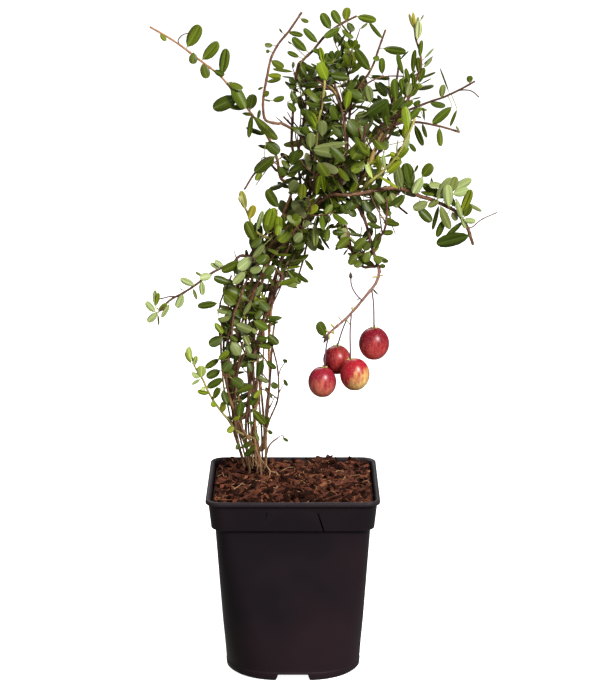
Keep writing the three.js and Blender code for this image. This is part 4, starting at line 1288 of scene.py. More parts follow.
# Leaves. Small, leathery and oblong, on hardly any stalk, with a grooved rib and rolled edges: glossy
# green above and dull grey-green below. They stand round each twig and turn their faces to the light.
# Rows of a leaf: place along it and share of its width. Columns: place across and height
LEAF_ROWS = ((0.06, 0.14), (0.17, 0.6), (0.36, 0.94), (0.56, 1.0), (0.75, 0.93), (0.9, 0.68), (0.975, 0.34))
LEAF_COLUMNS = ((-1, -0.07), (-0.5, 0.035), (0, -0.03), (0.5, 0.035), (1, -0.07))
LEAF_THICKNESS = 0.01
leaf_corners = [(0, 0, 0)]
for along_share, wide in LEAF_ROWS:
    leaf_corners += [(x * wide, along_share, z * wide) for x, z in LEAF_COLUMNS]
    leaf_corners.append((0, along_share, -0.075 * wide - LEAF_THICKNESS))
leaf_corners.append((0, 1, -LEAF_THICKNESS))
leaf_corners = np.array(leaf_corners)
leaf_faces = []
TOP, UNDER = 0, 1
last_leaf_corner = len(leaf_corners) - 1
for k in range(4):
    leaf_faces.append(((0, 2 + k, 1 + k), TOP))
    ring = 1 + 6 * (len(LEAF_ROWS) - 1)
    leaf_faces.append(((ring + k, ring + k + 1, last_leaf_corner), TOP))
for first, second in ((1, 6), (6, 5)):
    leaf_faces.append(((0, first, second), UNDER))
    ring = 6 * (len(LEAF_ROWS) - 1)
    leaf_faces.append(((ring + second, ring + first, last_leaf_corner), UNDER))
for row in range(len(LEAF_ROWS) - 1):
    here, there = 1 + 6 * row, 7 + 6 * row
    for k in range(4):
        leaf_faces.append(((here + k, here + k + 1, there + k + 1, there + k), TOP))
    leaf_faces.append(((here, there, there + 5, here + 5), UNDER))
    leaf_faces.append(((here + 5, there + 5, there + 4, here + 4), UNDER))


def leaf_nodes():
    """Leaf surface: a pale rib down the middle, faint side veins and painted shade along the rolled edges,
    from the leaf's own map.
    """
    tree, given, result = new_group(
        "leaf_surface",
        [("Blade", "Color"), ("Shade", "Color"), ("Rib", "Color"), ("Patch Scale", "Float")],
        [("Color", "Color"), ("Height", "Float")],
    )
    own_map = add_node(tree, "UVMap", uv_map="along")
    parts = add_node(tree, "SeparateXYZ", {"Vector": (own_map, "UV")})
    side = add_node(tree, "Math", {0: (parts, "X"), 1: 0.5}, operation="SUBTRACT")
    out_from_rib = add_node(tree, "Math", {0: (side, 0)}, operation="ABSOLUTE")
    rib = add_node(tree, "MapRange", {"Value": (out_from_rib, 0)}, From_Min=0.075, From_Max=0.02)
    slant = add_node(
        tree, "Math", {0: (out_from_rib, 0), 2: (parts, "Y"), 1: -0.55}, operation="MULTIPLY_ADD"
    )
    waves = add_node(tree, "Math", {0: (slant, 0), 1: 44.0}, operation="MULTIPLY")
    sine = add_node(tree, "Math", {0: (waves, 0)}, operation="SINE")
    veins = add_node(tree, "MapRange", {"Value": (sine, 0)}, From_Min=0.55, From_Max=1.0, To_Max=0.3)
    tone = place_group(
        tree, mottle,
        {
            "Patch Colour": (given, "Blade"), "Ground Colour": (given, "Shade"),
            "Patch Scale": (given, "Patch Scale"), "Grain Scale": 2500.0,
        },
    )
    line = add_node(tree, "Math", {0: (rib, "Result"), 1: (veins, "Result")}, operation="MAXIMUM")
    # Painted shade: the rolled edges of the blade are darkened, as if turned away from the light.
    rolled_margin_shade = add_node(tree, "MapRange", {"Value": (out_from_rib, 0)}, From_Min=0.36, From_Max=0.47, To_Max=0.8)
    edge = add_node(
        tree, "Mix", {0: (rolled_margin_shade, "Result"), 6: (tone, "Color"), 7: (0.42, 0.5, 0.5, 1)}, data_type="RGBA",
        blend_type="MULTIPLY",
    )
    blend = add_node(tree, "Mix", {0: (line, 0), 6: (edge, 2), 7: (given, "Rib")}, data_type="RGBA")
    feed(tree, result, {"Color": (blend, 2), "Height": (line, 0)})
    return tree


leaf_group = leaf_nodes()


def leaf_finish(name, blade, shade, rib, roughness, specular):
    """A leaf's blade in two near tones, with its rib sunk into it."""
    values = {"Blade": (*blade, 1), "Shade": (*shade, 1), "Rib": (*rib, 1), "Patch Scale": 70.0}
    return surfaced(principled(name, roughness, specular), leaf_group, values, "Height", -0.35, 0.0002)


# Kinds of leaf: three tones of the upper side, and the under side
LEAF_TINTS = {
    "dark": (((0.048, 0.069, 0.0045), (0.074, 0.096, 0.006), (0.031, 0.049, 0.003)), (0.14, 0.165, 0.045)),
    "mid": (((0.100, 0.134, 0.008), (0.14, 0.17, 0.009), (0.075, 0.108, 0.008)), (0.2, 0.24, 0.07)),
    "back": (((0.15, 0.178, 0.053), (0.16, 0.185, 0.045), (0.22, 0.255, 0.085)), (0.25, 0.27, 0.10)),
    "pale": (((0.31, 0.37, 0.15), (0.29, 0.35, 0.13), (0.42, 0.45, 0.20)), (0.41, 0.46, 0.22)),
    "fresh": (((0.19, 0.225, 0.011), (0.145, 0.195, 0.008), (0.36, 0.43, 0.10)), (0.3, 0.33, 0.08)),
    "olive": (((0.28, 0.27, 0.06), (0.33, 0.285, 0.026), (0.42, 0.41, 0.17)), (0.42, 0.39, 0.14)),
}
leaf_finishes = {}
for tint, (tops, under) in LEAF_TINTS.items():
    rib_gain = 1.15 if tint in ("back", "pale", "olive") else 1.35
    leaf_finishes[tint] = []
    for k, top in enumerate(tops):
        shade = tuple(0.74 * channel for channel in top)
        rib = tuple(rib_gain * channel + 0.008 for channel in top)
        leaf_finishes[tint].append(leaf_finish(f"leaf_{tint}_top_{k + 1}", top, shade, rib, 0.36, 0.16))
    rib = tuple(0.82 * channel for channel in under)
    shade = tuple(0.8 * channel for channel in under)
    leaf_finishes[tint].append(leaf_finish(f"leaf_{tint}_under", under, shade, rib, 0.62, 0.18))

# Directions that the faces of the leaves turn to
LIGHT = np.array([0.1, -0.75, 0.65])
AWAY = np.array([0.1, 0.9, 0.1])
SKYWARD = np.array([0.1, -0.9, 0.5])


def leaf_at(root, reach, face, length, width, curl, tone):
    """A leaf from its root along its reach, with its top towards the face direction."""
    face = square_to(face, reach)
    return root, reach, np.cross(reach, face), face, length, width, curl, tone


leaf_sets = {tint: [] for tint in LEAF_TINTS}


# Leaves that the front view shows whole, twig by twig: x and z of the root, the tip's x and z from there,
# y of the root, width for length, kind and tone
DARK, MID, BACK, PALE, FRESH, OLIVE = LEAF_TINTS
SET_LEAVES = (
    # left runner
    (-54, 327.5, 6.5, 11.5, 3, 0.44, MID, 0), (-46.5, 321, 8.5, 9.5, 4, 0.43, MID, 0),
    (-36.5, 313, 2.5, 14, 5, 0.32, MID, 2), (-50.5, 325, -0.5, -5.5, 3, 0.65, DARK, 1),
    (-46, 319.5, 2, -7.5, 4, 0.53, DARK, 1), (-40.5, 316, 5.5, -2.5, 4, 0.45, DARK, 0),
    (-67.5, 334.5, 3, -3, 2, 0.45, MID, 1), (-31.5, 310, 8, -13, 4, 0.4, MID, 2),
    (-33, 309.5, 7.5, -2, 4, 0.55, DARK, 1), (-28, 302, -13, -5.5, 6, 0.44, DARK, 0),
    (-24, 296, -9, 1.5, 7, 0.29, DARK, 0), (-22, 295, 2, 8, 7, 0.61, DARK, 0),
    (-21, 293, -1.5, -12, 7, 0.2, MID, 2), (-20, 292, 12.5, -11.5, 7, 0.3, DARK, 1),
    (-14, 278.5, 7, -5.5, 8, 0.56, DARK, 0), (-9, 271.5, -11, -8, 6, 0.37, DARK, 0),
    (-16, 264, -3, -5, 6, 0.43, MID, 1),
    # loop
    (4, 342.5, 4, -1.5, 0, 0.47, DARK, 1), (-5, 335, -1.5, 2.5, 0, 0.29, DARK, 0),
    (-10, 329, -4, 0.5, 0, 0.54, DARK, 1), (-11.5, 326, -2, 0, 0, 0.59, DARK, 0),
    (-15, 308, -2.5, -1, -2, 0.35, DARK, 0), (-15.5, 305, 3.5, -0.5, -2, 0.72, DARK, 1),
    (-15, 301.5, 3.5, -0.5, -2, 0.19, DARK, 0), (-11, 321.5, 6.5, -3.5, -1, 0.5, DARK, 1),
    (-13, 314, 7, 0, -2, 0.37, MID, 1), (-13.5, 310.5, 7.5, 2, -2, 0.27, DARK, 1),
    (-10.5, 301, 6, 2, -2, 0.44, MID, 2),
    # top left
    (19.5, 336, -4.5, 8.5, 10, 0.43, MID, 2), (24.5, 338.5, -4, 7.5, 9, 0.45, MID, 2),
    (27, 340.5, 1, 7, 8, 0.52, MID, 1), (32.5, 343, 10, -1.5, 6, 0.36, MID, 0),
    (38.5, 341, 7, -8.5, 5, 0.19, MID, 2), (28, 340, 3, -4.5, 8, 0.58, DARK, 0),
    (24.5, 337.5, -8.5, -5, 8, 0.35, MID, 2), (25, 336.5, 6, -4.5, 8, 0.47, MID, 2),
    (13, 329, -6.5, 8, 12, 0.36, MID, 2), (7.5, 324.5, -7.5, 7.5, 13, 0.37, MID, 2),
    (9.5, 325.5, 6, -1, 12, 0.37, MID, 2), (-2.5, 335.5, 7.5, -1.5, 2, 0.3, DARK, 1),
    (-0.5, 328.5, -2, 1.5, 13, 0.36, DARK, 0), (3.5, 321.5, -6, 3, 14, 0.33, MID, 2),
    (3.5, 318.5, 8, -3, 14, 0.3, DARK, 0),
    # top right
    (46, 326.5, 12, -1.5, 10, 0.32, MID, 2), (40, 314.5, -7, 11.5, 12, 0.35, DARK, 0),
    (46, 313, 0, 8.5, 10, 0.36, MID, 2), (40, 312.5, 10, -1.5, 12, 0.22, DARK, 0),
    (41.5, 304.5, -11.5, -4, 12, 0.31, DARK, 1), (42, 309.5, 6.5, -7.5, 11, 0.36, DARK, 0),
    (44.5, 322, -3, -1.5, 12, 0.75, MID, 2), (39.5, 311.5, 9.5, 0, 12, 0.2, DARK, 2),
    # pale tip
    (61.5, 337.5, -2.5, 8, -5, 0.18, OLIVE, 0), (62, 338.5, -0.5, 7.5, -5, 0.24, OLIVE, 1),
    (63, 339, 0.5, 4.5, -5, 0.27, OLIVE, 0), (63, 332, 0.5, 10, -6, 0.35, PALE, 2),
    (64.5, 323, 1, 9, -5, 0.24, MID, 0), (61, 315, 1, 12.5, -6, 0.2, DARK, 1),
    (59.5, 310, -2, 8, -6, 0.28, MID, 2), (64, 310, 2.5, 8, -5, 0.3, MID, 2),
    (62, 307, -1, 8.5, -6, 0.24, DARK, 1), (60, 303, 3.5, 7, -5, 0.35, MID, 2),
    (52.5, 301.5, -0.5, 11, -3, 0.37, MID, 2), (40, 298.5, -2, 9.5, 6, 0.43, BACK, 0),
    (37.5, 300, -9.5, 3.5, 5, 0.47, DARK, 0), (66.5, 322.5, 4.5, 5.5, -5, 0.14, PALE, 1),
    (66.5, 318, 4, 5, -5, 0.26, PALE, 1), (64.5, 312.5, 8, 3.5, -5, 0.14, DARK, 1),
    (64.5, 309.5, 5.5, 3.5, -5, 0.09, DARK, 0), (56.5, 314, -3.5, 11.5, -4, 0.21, MID, 2),
    (55.5, 297.5, 5.5, 4, -4, 0.42, MID, 2), (58, 303.5, 1.5, 7, -6, 0.41, BACK, 2),
    (57, 303.5, -2, 9, -4, 0.31, MID, 2),
    # right upper
    (70, 299.5, 8, -0.5, 1, 0.46, DARK, 0), (76, 302, 1, 7, 0, 0.41, BACK, 1),
    (81.5, 298, -10, -8.5, -1, 0.3, MID, 2), (84, 296.5, -3.5, -8.5, -1, 0.16, DARK, 1),
    (90, 310, 0, 4, -3, 0.63, MID, 2), (64, 297.5, -0.5, 3, 2, 1.01, DARK, 0),
    (60.5, 301, 5, 1.5, 3, 0.13, DARK, 1), (60, 296, -9.5, 3, 4, 0.37, DARK, 1),
    # right middle
    (63, 287, 4.5, -11, 13, 0.24, DARK, 0), (67, 287.5, 3, -7, 14, 0.3, MID, 2),
    (76, 285, 1.5, -9.5, 16, 0.34, MID, 0), (86.5, 283.5, -2, 2.5, 16, 0.54, BACK, 0),
    (60, 278, 3.5, -4, 8, 0.38, DARK, 0), (54.5, 285.5, 4.5, -5, 9, 0.31, DARK, 0),
    (57.5, 279.5, 2, 10.5, 4, 0.34, FRESH, 0), (52.5, 272.5, 4.5, 6, -8, 0.42, FRESH, 1),
    (53.5, 268.5, -5, -3, -6, 0.69, BACK, 1), (55, 271.5, -5, 4, -8, 0.47, FRESH, 0),
    (56.5, 275.5, 2.5, 6.5, -8, 0.38, PALE, 1),
    # arm
    (66.5, 261, 4.5, 7, 2, 0.59, DARK, 1), (67, 261.5, -5, -8.5, 1, 0.43, PALE, 1),
    (76.5, 258, -6.5, -0.5, -1, 0.56, BACK, 2), (74, 249.5, 7.5, 12, -2, 0.32, BACK, 2),
    (81, 253.5, 2.5, 8.5, -3, 0.44, BACK, 1), (80.5, 246, -1, 12, -4, 0.39, PALE, 1),
    (82, 255, 9.5, 6, -3, 0.34, PALE, 1), (82, 253, 8, 3, -4, 0.5, PALE, 1),
    (86.5, 243.5, 5, 12.5, -5, 0.29, MID, 1), (84, 251, 3.5, -9.5, -5, 0.27, PALE, 1),
    (88, 241, 3, 7.5, -4, 0.49, DARK, 1), (89.5, 248.5, 8, -3, -4, 0.27, BACK, 0),
    (76, 247, 5.5, -12, -2, 0.33, BACK, 1), (82, 243.5, 2.5, -4, -2, 0.55, BACK, 0),
    (64.5, 245.5, 7.5, -7, 1, 0.45, DARK, 0), (70, 248.5, -8, -3.5, 1, 0.5, BACK, 0),
    (69.5, 245.5, 5.5, 4, 0, 0.4, BACK, 1), (75.5, 247, -3, -13, 0, 0.15, DARK, 0),
    (78.5, 240, -4, -9.5, -1, 0.3, DARK, 0), (88, 239, -9, -8, -3, 0.2, DARK, 0),
    (91.5, 232, -17.5, -4, -6, 0.33, DARK, 2), (87.5, 240, 6.5, -0.5, -5, 0.42, PALE, 1),
    (62.5, 263.5, 1.5, 4, 1, 0.26, DARK, 0), (79, 249.5, -12, 8, 3, 0.28, DARK, 0),
    (79.5, 251, -10, 3.5, 4, 0.39, DARK, 0), (65.5, 253.5, 7.5, -1, 2, 0.28, MID, 0),
    (86.5, 242, 2.5, -6.5, -4, 0.28, PALE, 1), (71.5, 261, 0.5, -3.5, 1, 0.21, DARK, 0),
    (84, 245.5, -2.5, 5.5, 1, 0.39, DARK, 0), (56, 261.5, 6, -7, 4, 0.37, DARK, 0),
    (56.5, 255, -2.5, 12.5, 2, 0.33, BACK, 0), (30.5, 253, 5, -6.5, 4, 0.49, DARK, 0),
    (35, 251, -5.5, -7, 4, 0.45, DARK, 1), (41.5, 253.5, 4, -6.5, 3, 0.52, DARK, 0),
    (48, 254, -4, -7.5, 2, 0.47, DARK, 0), (38, 243.5, 5.5, -6, 3, 0.49, DARK, 1),
    (41.5, 235, -5, -6, 0, 0.47, DARK, 0), (27.5, 246, 5.5, -5, 4, 0.54, DARK, 0),
    (50.5, 251.5, -3.5, -7, 2, 0.45, MID, 0), (61, 255, -3, 13, 3, 0.45, DARK, 0),
    (58, 252, -5, -6.5, 2, 0.38, DARK, 1),
    # above arm
    (12, 251, 2, 11, 2, 0.23, FRESH, 1), (16.5, 252.5, -2, 11, 2, 0.25, FRESH, 1),
    (18.5, 253.5, 0.5, 9.5, 2, 0.28, FRESH, 1), (26.5, 253, -5.5, 10, 0, 0.25, FRESH, 1),
    (33.5, 259.5, -5, 8, -1, 0.34, BACK, 1), (29.5, 253, 3, 6, 1, 0.4, FRESH, 1),
    # mid left
    (-36, 214, -4.5, 3, 4, 0.5, PALE, 0), (-38, 212.5, -4.5, 3.5, 4, 0.38, PALE, 1),
    (-42, 209.5, -6.5, -1, 2, 0.53, PALE, 1), (-47.5, 207, 0.5, -7.5, 1, 0.37, PALE, 1),
    (-51, 204.5, -7, 4, 0, 0.38, PALE, 0), (-52, 203, 2, -5.5, 0, 0.26, BACK, 1),
    (-57, 200.5, -3.5, -7, -2, 0.48, PALE, 0), (-64, 195.5, -4.5, -6.5, -4, 0.29, PALE, 1),
    (-70, 191, 4.5, 5, -4, 0.35, FRESH, 1), (-70, 191.5, -5.5, -4.5, -6, 0.45, PALE, 1),
    (-71, 191.5, -5, 6, -6, 0.41, PALE, 1), (-71.5, 194, 0, 9, -5, 0.24, PALE, 1),
    (-70, 190.5, 0.5, -5.5, -6, 0.16, DARK, 1), (-71, 194.5, 1.5, 7.5, -5, 0.28, FRESH, 0),
    (-57, 202, -2, 1.5, 0, 0.26, DARK, 1), (-32.5, 205.5, -8.5, 3.5, 2, 0.4, DARK, 0),
    (-39, 195, -10.5, -1, 0, 0.32, DARK, 0), (-27, 216.5, -10, -5, 4, 0.37, DARK, 1),
    (-21, 219, -7.5, -6, 2, 0.52, PALE, 1),
    # left tip
    (-24.5, 243, -2, 10, 7, 0.32, OLIVE, 0), (-23, 238, 3, 8, 6, 0.4, OLIVE, 1),
    (-19, 232, 3.5, 11, 6, 0.21, PALE, 1), (-19, 225.5, -5, 11.5, 8, 0.41, DARK, 1),
    (-14.5, 231, 3.5, 13, 6, 0.44, FRESH, 1), (-8, 230.5, 0.5, 9.5, 5, 0.47, FRESH, 1),
    (-25.5, 246, -2, 4.5, 7, 0.45, OLIVE, 2),
    # low left
    (-53.5, 164.5, -1, 8, -1, 0.4, FRESH, 2), (-53, 163, -3, 6.5, -1, 0.27, FRESH, 0),
    (-52, 161.5, 1.5, 6, -1, 0.35, FRESH, 2), (-48, 155, 0, 7, 0, 0.61, FRESH, 2),
    (-48.5, 155.5, -4.5, 2.5, 0, 0.59, PALE, 1), (-48.5, 154.5, -4.5, -2.5, 0, 0.29, PALE, 1),
    (-44, 146, -6, 2, 2, 0.36, FRESH, 1), (-42, 143.5, 3, 6, 3, 0.43, DARK, 1),
    (-40, 139, -3, 2, 4, 0.68, FRESH, 1), (-37.5, 135, 0.5, 6, 5, 0.5, FRESH, 0),
    (-31.5, 127.5, -3, -3.5, 7, 0.61, FRESH, 0), (-46, 150, -2, -1.5, 2, 0.53, FRESH, 2),
    # low bundle
    (-40, 191, 5.5, -0.5, 2, 0.43, BACK, 0), (-39, 186, 6, 1.5, 1, 0.53, BACK, 1),
    (-41, 185, 4.5, -5.5, 0, 0.4, FRESH, 1), (-36.5, 176.5, -7.5, -4, 3, 0.55, DARK, 0),
    (-30, 184.5, 8.5, -3, -2, 0.48, BACK, 0), (-21.5, 182, 2.5, -2, -1, 0.6, BACK, 1),
    (-20.5, 186, 7.5, -4, -1, 0.5, MID, 2), (-32, 175, 4.5, -6.5, -2, 0.63, BACK, 0),
    (-26, 179.5, 3, -6, -1, 0.43, BACK, 1), (-24.5, 174, 2.5, -5, -1, 0.49, BACK, 0),
    (-19.5, 176, 5.5, -0.5, 4, 0.51, DARK, 0), (-13.5, 177, 6, -5, 8, 0.49, DARK, 0),
    (-11, 170, -7, 2, 6, 0.32, DARK, 1), (-38.5, 164.5, -7.5, -4.5, 4, 0.34, DARK, 1),
    (-38, 158, -7.5, -3, 5, 0.49, DARK, 0), (-36.5, 154, -8.5, -4.5, 4, 0.37, DARK, 0),
    (-38, 149, -4, -5.5, 4, 0.35, DARK, 1), (-39.5, 165, 6, 5, 0, 0.4, FRESH, 1),
    (-32, 164, -4.5, -5, 1, 0.66, DARK, 0), (-32.5, 155, 6.5, -4, 0, 0.62, DARK, 0),
    (-29.5, 147.5, 8, 4, 1, 0.39, DARK, 1), (-16, 164.5, -2, -8.5, 3, 0.38, DARK, 2),
    (-14.5, 163, 5.5, -4, 6, 0.36, DARK, 0), (-19.5, 156, 6.5, -3.5, 4, 0.3, BACK, 0),
    (-7.5, 148, -4, 2, 9, 0.65, DARK, 0), (-37, 148, 2.5, -7, 3, 0.47, DARK, 0),
    (-27, 143, -1.5, -8.5, 1, 0.46, DARK, 0), (-21.5, 137.5, 7, -7.5, 2, 0.36, DARK, 1),
    (-19.5, 147, -2, -7, 2, 0.53, DARK, 0), (-32, 132, 4, 3, 1, 0.53, FRESH, 0),
    (-27, 117, 4.5, 2.5, 3, 0.57, DARK, 0), (-24, 115, 4, 3, 2, 0.56, DARK, 1),
    (-26, 112, 4.5, 3.5, 2, 0.47, DARK, 2), (-20, 125.5, 2, -4.5, 1, 0.34, BACK, 1),
    (-28.5, 119, -1.5, -3.5, 4, 0.42, DARK, 0), (-14.5, 129.5, 1.5, 4, 3, 0.59, DARK, 1),
    (-13.5, 125.5, 2.5, -1.5, 5, 0.49, DARK, 0), (-23.5, 130, 3, 0, 4, 0.44, DARK, 0),
    (-17, 148.5, -3.5, -4, 1, 0.47, FRESH, 0), (-5.5, 162, 2.5, -1, 13, 0.5, DARK, 0),
    (-5, 151.5, 2, -3.5, 13, 0.37, DARK, 0), (-5.5, 119.5, 3, -1.5, 13, 0.5, DARK, 0),
    (-23.5, 163.5, 2, -5, 2, 0.5, DARK, 0), (-21.5, 196.5, -3.5, -6.5, -3, 0.31, BACK, 0),
    (-15.5, 206, -3.5, -6, -3, 0.32, BACK, 0), (-36, 199.5, 5.5, -5, 1, 0.71, DARK, 1),
    (-33, 178, 4, -2.5, 0, 0.45, MID, 2), (-27.5, 167, -3.5, 4, 0, 0.59, DARK, 0),
    (-30, 173, -4.5, -2.5, 1, 0.57, DARK, 0), (-19.5, 183, -3.5, -5, 2, 0.53, DARK, 0),
    (-35, 159.5, 4, -2.5, 2, 0.56, DARK, 0), (-31, 192, 5, -4.5, 2, 0.61, DARK, 0),
    (-18, 195.5, 6, -4.5, 4, 0.56, DARK, 0), (-28, 187.5, -4, -4.5, 2, 0.56, DARK, 1),
    (-16, 191, -3.5, -4.5, 3, 0.53, DARK, 0), (-35.5, 191, 4.5, -3, 2, 0.62, DARK, 0),
    # crown front
    (17.5, 311.5, -4, 9.5, -4, 0.52, FRESH, 1), (13, 285.5, -3, 9.5, -4, 0.32, FRESH, 1),
    (37, 281, -7, -8, -12, 0.66, MID, 0), (36.5, 271.5, -6.5, -5.5, -11, 0.57, MID, 0),
    (19, 279, 7.5, -7, -12, 0.49, DARK, 0), (23.5, 291.5, -4, 7.5, -6, 0.56, DARK, 0),
    (20, 288.5, 7, -4, -6, 0.62, DARK, 0), (29, 289.5, 6, -5, -6, 0.77, DARK, 1),
    (38.5, 295.5, -5.5, -6, -3, 0.77, DARK, 0), (43.5, 292, 4, 6.5, -3, 0.69, DARK, 0),
    (6.5, 300.5, 8, -1.5, -2, 0.59, DARK, 0), (8, 290, 7, -3, -2, 0.63, DARK, 1),
    (28, 306, 7.5, -3.5, 2, 0.51, DARK, 0),
    # low front
    (-16, 214.5, -6, -1, -3, 0.67, BACK, 0), (-24.5, 212.5, -6.5, -6, -3, 0.42, BACK, 2),
    (-13.5, 221, -5.5, -3, -3, 0.62, DARK, 0), (-9.5, 215.5, -4.5, -4.5, -2, 0.59, DARK, 0),
    # knee
    (-7.5, 244, -6, 10, 8, 0.42, DARK, 0), (-1, 266.5, 2.5, 8, 4, 0.57, DARK, 0),
    (-2.5, 210.5, 11, -5.5, 12, 0.2, DARK, 0), (-3, 210, 7, -6.5, 12, 0.37, DARK, 1),
    (5.5, 270.5, -3.5, -6.5, 4, 0.54, DARK, 0), (-2.5, 260.5, 4.5, 6, 5, 0.56, DARK, 1),
    (-4.5, 203.5, 7, 0, 12, 0.55, BACK, 1), (8, 231.5, 7, -6, 6, 0.43, DARK, 0),
    (11, 233.5, 8, -3.5, 6, 0.45, MID, 2),
    # centre
    (28, 280.5, -17, -1.5, -10, 0.24, BACK, 0), (26, 274.5, -15, 3.5, -12, 0.29, BACK, 0),
    # bundle and runner
    (-11.5, 232.5, 2, 11.5, 9, 0.42, FRESH, 0), (-23, 196, -13, 7.5, 4, 0.42, DARK, 1),
    (17, 180.5, -3.5, 8, -14.5, 0.56, DARK, 0),
    # hanging bough
    (27, 232.5, -6.5, 0.5, 0, 0.46, DARK, 0), (29.5, 230.5, -6.5, -5.5, -2, 0.48, DARK, 1),
    (33, 222, -4, -5, -5, 0.52, DARK, 1), (36.5, 218.5, -5, -2, -6, 0.63, DARK, 1),
    (39.5, 224, -2.5, -5.5, -7, 0.59, DARK, 1), (38, 230.5, -6, -5.5, -4, 0.55, DARK, 1),
    (41.5, 222, 4, -3.5, -9, 0.63, DARK, 1), (45.5, 219, 3.5, 0.5, -9, 0.45, DARK, 0),
    (44.5, 217, 3, -0.5, -9, 0.58, DARK, 0), (45, 234, -3, -8, -7, 0.41, DARK, 0),
    (45.5, 233.5, 6, 1, -9, 0.4, DARK, 1), (46, 239.5, 8.5, -0.5, -10, 0.31, DARK, 0),
    (46, 245, 4.5, -1, -9, 0.54, DARK, 1), (46, 236, -7.5, 3, -7, 0.34, DARK, 0),
    (42, 254.5, 5, -5.5, -5, 0.47, BACK, 0), (50, 254.5, 3.5, -7.5, -5, 0.43, BACK, 1),
    (11.5, 237.5, -0.5, -11.5, -2, 0.3, BACK, 1),
    # crown
    (36.5, 294, 11.5, 8.5, -8, 0.38, DARK, 2), (48.5, 287.5, -2, 14.5, -4, 0.29, DARK, 0),
    (50, 296, 6, 7.5, -4, 0.44, DARK, 0), (65.5, 297.5, -6, -6, -1, 0.35, MID, 2),
    (15, 283, 0, 8.5, -5, 0.52, BACK, 0), (12.5, 287.5, -5.5, 8.5, -4, 0.42, DARK, 0),
    (9, 276.5, 0.5, 8.5, -4, 0.5, BACK, 0), (27, 297, 2, 9.5, -8, 0.33, FRESH, 1),
    (29, 313, -9, 1.5, -6, 0.44, DARK, 0), (4, 318, 2.5, -5, 12, 0.47, DARK, 1),
    (16, 318.5, -2.5, 9.5, -3, 0.27, FRESH, 1), (47, 267, -0.5, 7.5, -12, 0.3, PALE, 1),
    (44.5, 264, -0.5, 9.5, -7, 0.29, FRESH, 0), (30.5, 325, -3, 3.5, 24, 0.57, FRESH, 1),
    (30.5, 325, -1, 5, 24, 0.52, MID, 2), (31, 325, 2, 4.5, 24, 0.5, FRESH, 1),
    (31, 324.5, 4, 2.5, 24, 0.54, MID, 2), (30, 324, -3.5, 0, 24, 0.71, MID, 0),
    (21, 321.5, -4, 3.5, -3, 0.54, DARK, 0), (21, 322, -1.5, 4.5, -3, 0.58, DARK, 2),
    (21.5, 322, 2, 4.5, -3, 0.59, DARK, 0), (21.5, 321.5, 3.5, 1.5, -3, 0.68, DARK, 2),
    (21, 321, -4, -0.5, -3, 0.68, DARK, 0), (22, 320, 2.5, -1.5, -3, 0.82, DARK, 0),
    (29, 316, -2, 6.5, 24, 0.47, MID, 0), (29.5, 316, 2.5, 6, 24, 0.5, MID, 1),
    (29.5, 315.5, 3.5, 2, 24, 0.74, DARK, 1), (28.5, 315.5, -2.5, 3, 24, 0.71, MID, 0),
    # left of the crown
    (5, 309.5, -1, 7, 14, 0.42, MID, 0), (2, 307.5, -3.5, 3.5, 14, 0.54, DARK, 2),
    (2, 306.5, -4, 0, 14, 0.62, DARK, 0), (4.5, 307.5, 8.5, 0.5, 12, 0.37, DARK, 0),
    (-1, 304.5, 3.5, -6, 12, 0.48, MID, 2), (5.5, 304, 4, 1, 10, 0.47, FRESH, 0),
    (-3, 299, 4.5, -4.5, 8, 0.44, MID, 2), (10, 292, -5.5, 4.5, -2, 0.51, DARK, 0),
    (8, 283.5, -2.5, 4.5, -3, 0.64, DARK, 0), (-2, 269.5, 7, 5, 4, 0.49, DARK, 1),
    (-1, 263.5, 7, 5, 3, 0.48, DARK, 0), (4, 249, 1, 8.5, 3, 0.5, FRESH, 0),
    (-2, 253.5, 4.5, 5.5, 3, 0.67, BACK, 0),
    # knee interior
    (-13, 231.5, -1.5, 4.5, 2, 0.5, DARK, 1), (-7, 236, -1, -5, 2, 0.59, FRESH, 1),
    (-16, 229, -5.5, -4.5, 4, 0.52, DARK, 0), (-14.5, 226.5, -6, -6.5, -1, 0.34, BACK, 0),
    (-18, 215, 5, 5, 2, 0.59, DARK, 1), (5, 231.5, -4, -4, 4, 0.71, BACK, 0),
    (0.5, 224, 5, 2, 4, 0.67, DARK, 0), (2, 237, -4.5, 4, 2, 0.53, BACK, 0),
    (-0.5, 237.5, 3, 4.5, 2, 0.55, MID, 0), (5, 235, 3.5, 3, 2, 0.55, BACK, 0),
    # between the boughs
    (47.5, 264.5, 7, 6.5, -8, 0.33, FRESH, 0), (55, 254.5, -1, 12, 2, 0.35, BACK, 0),
    (36.5, 249.5, 4, -6, -1, 0.62, DARK, 0), (43.5, 249.5, -5, -4.5, 0, 0.63, DARK, 0),
    (40.5, 229.5, -4, -5, -5, 0.55, DARK, 0), (6, 216.5, 4.5, -5.5, 10, 0.25, DARK, 0),
    (36, 283, -7, 9, -7, 0.58, DARK, 0), (4, 240.5, -4, -4.5, 3, 0.58, MID, 0),
    (7.5, 242, 5, 4.5, 2, 0.58, FRESH, 0), (15, 242, 4, -4, 2, 0.62, DARK, 0),
    (24.5, 246.5, 4.5, -4, 2, 0.58, DARK, 0), (20.5, 247, -3.5, -5, 2, 0.53, MID, 0),
    (30.5, 249, -3, -4.5, 2, 0.65, DARK, 0), (-3, 261, -4, 4.5, 6, 0.62, DARK, 0),
    (-6, 269.5, 4.5, -3.5, 6, 0.53, DARK, 1),
    # loose ones
    (10, 310.5, -3.5, 2, 12, 0.68, MID, 2), (64.5, 342, 1.5, 3, -5, 0.21, OLIVE, 0),
    (66, 319.5, 5, 4.5, -5, 0.12, DARK, 0), (64.5, 314, -1, 9.5, -5, 0.26, DARK, 1),
    (80, 304.5, -5, 12.5, 0, 0.06, DARK, 1), (67.5, 290.5, -1, 7, 0, 0.13, DARK, 1),
    (-47, 209, -3.5, 2.5, 2, 0.27, BACK, 1), (31.5, 271, 3.5, 8.5, -6, 0.51, MID, 0),
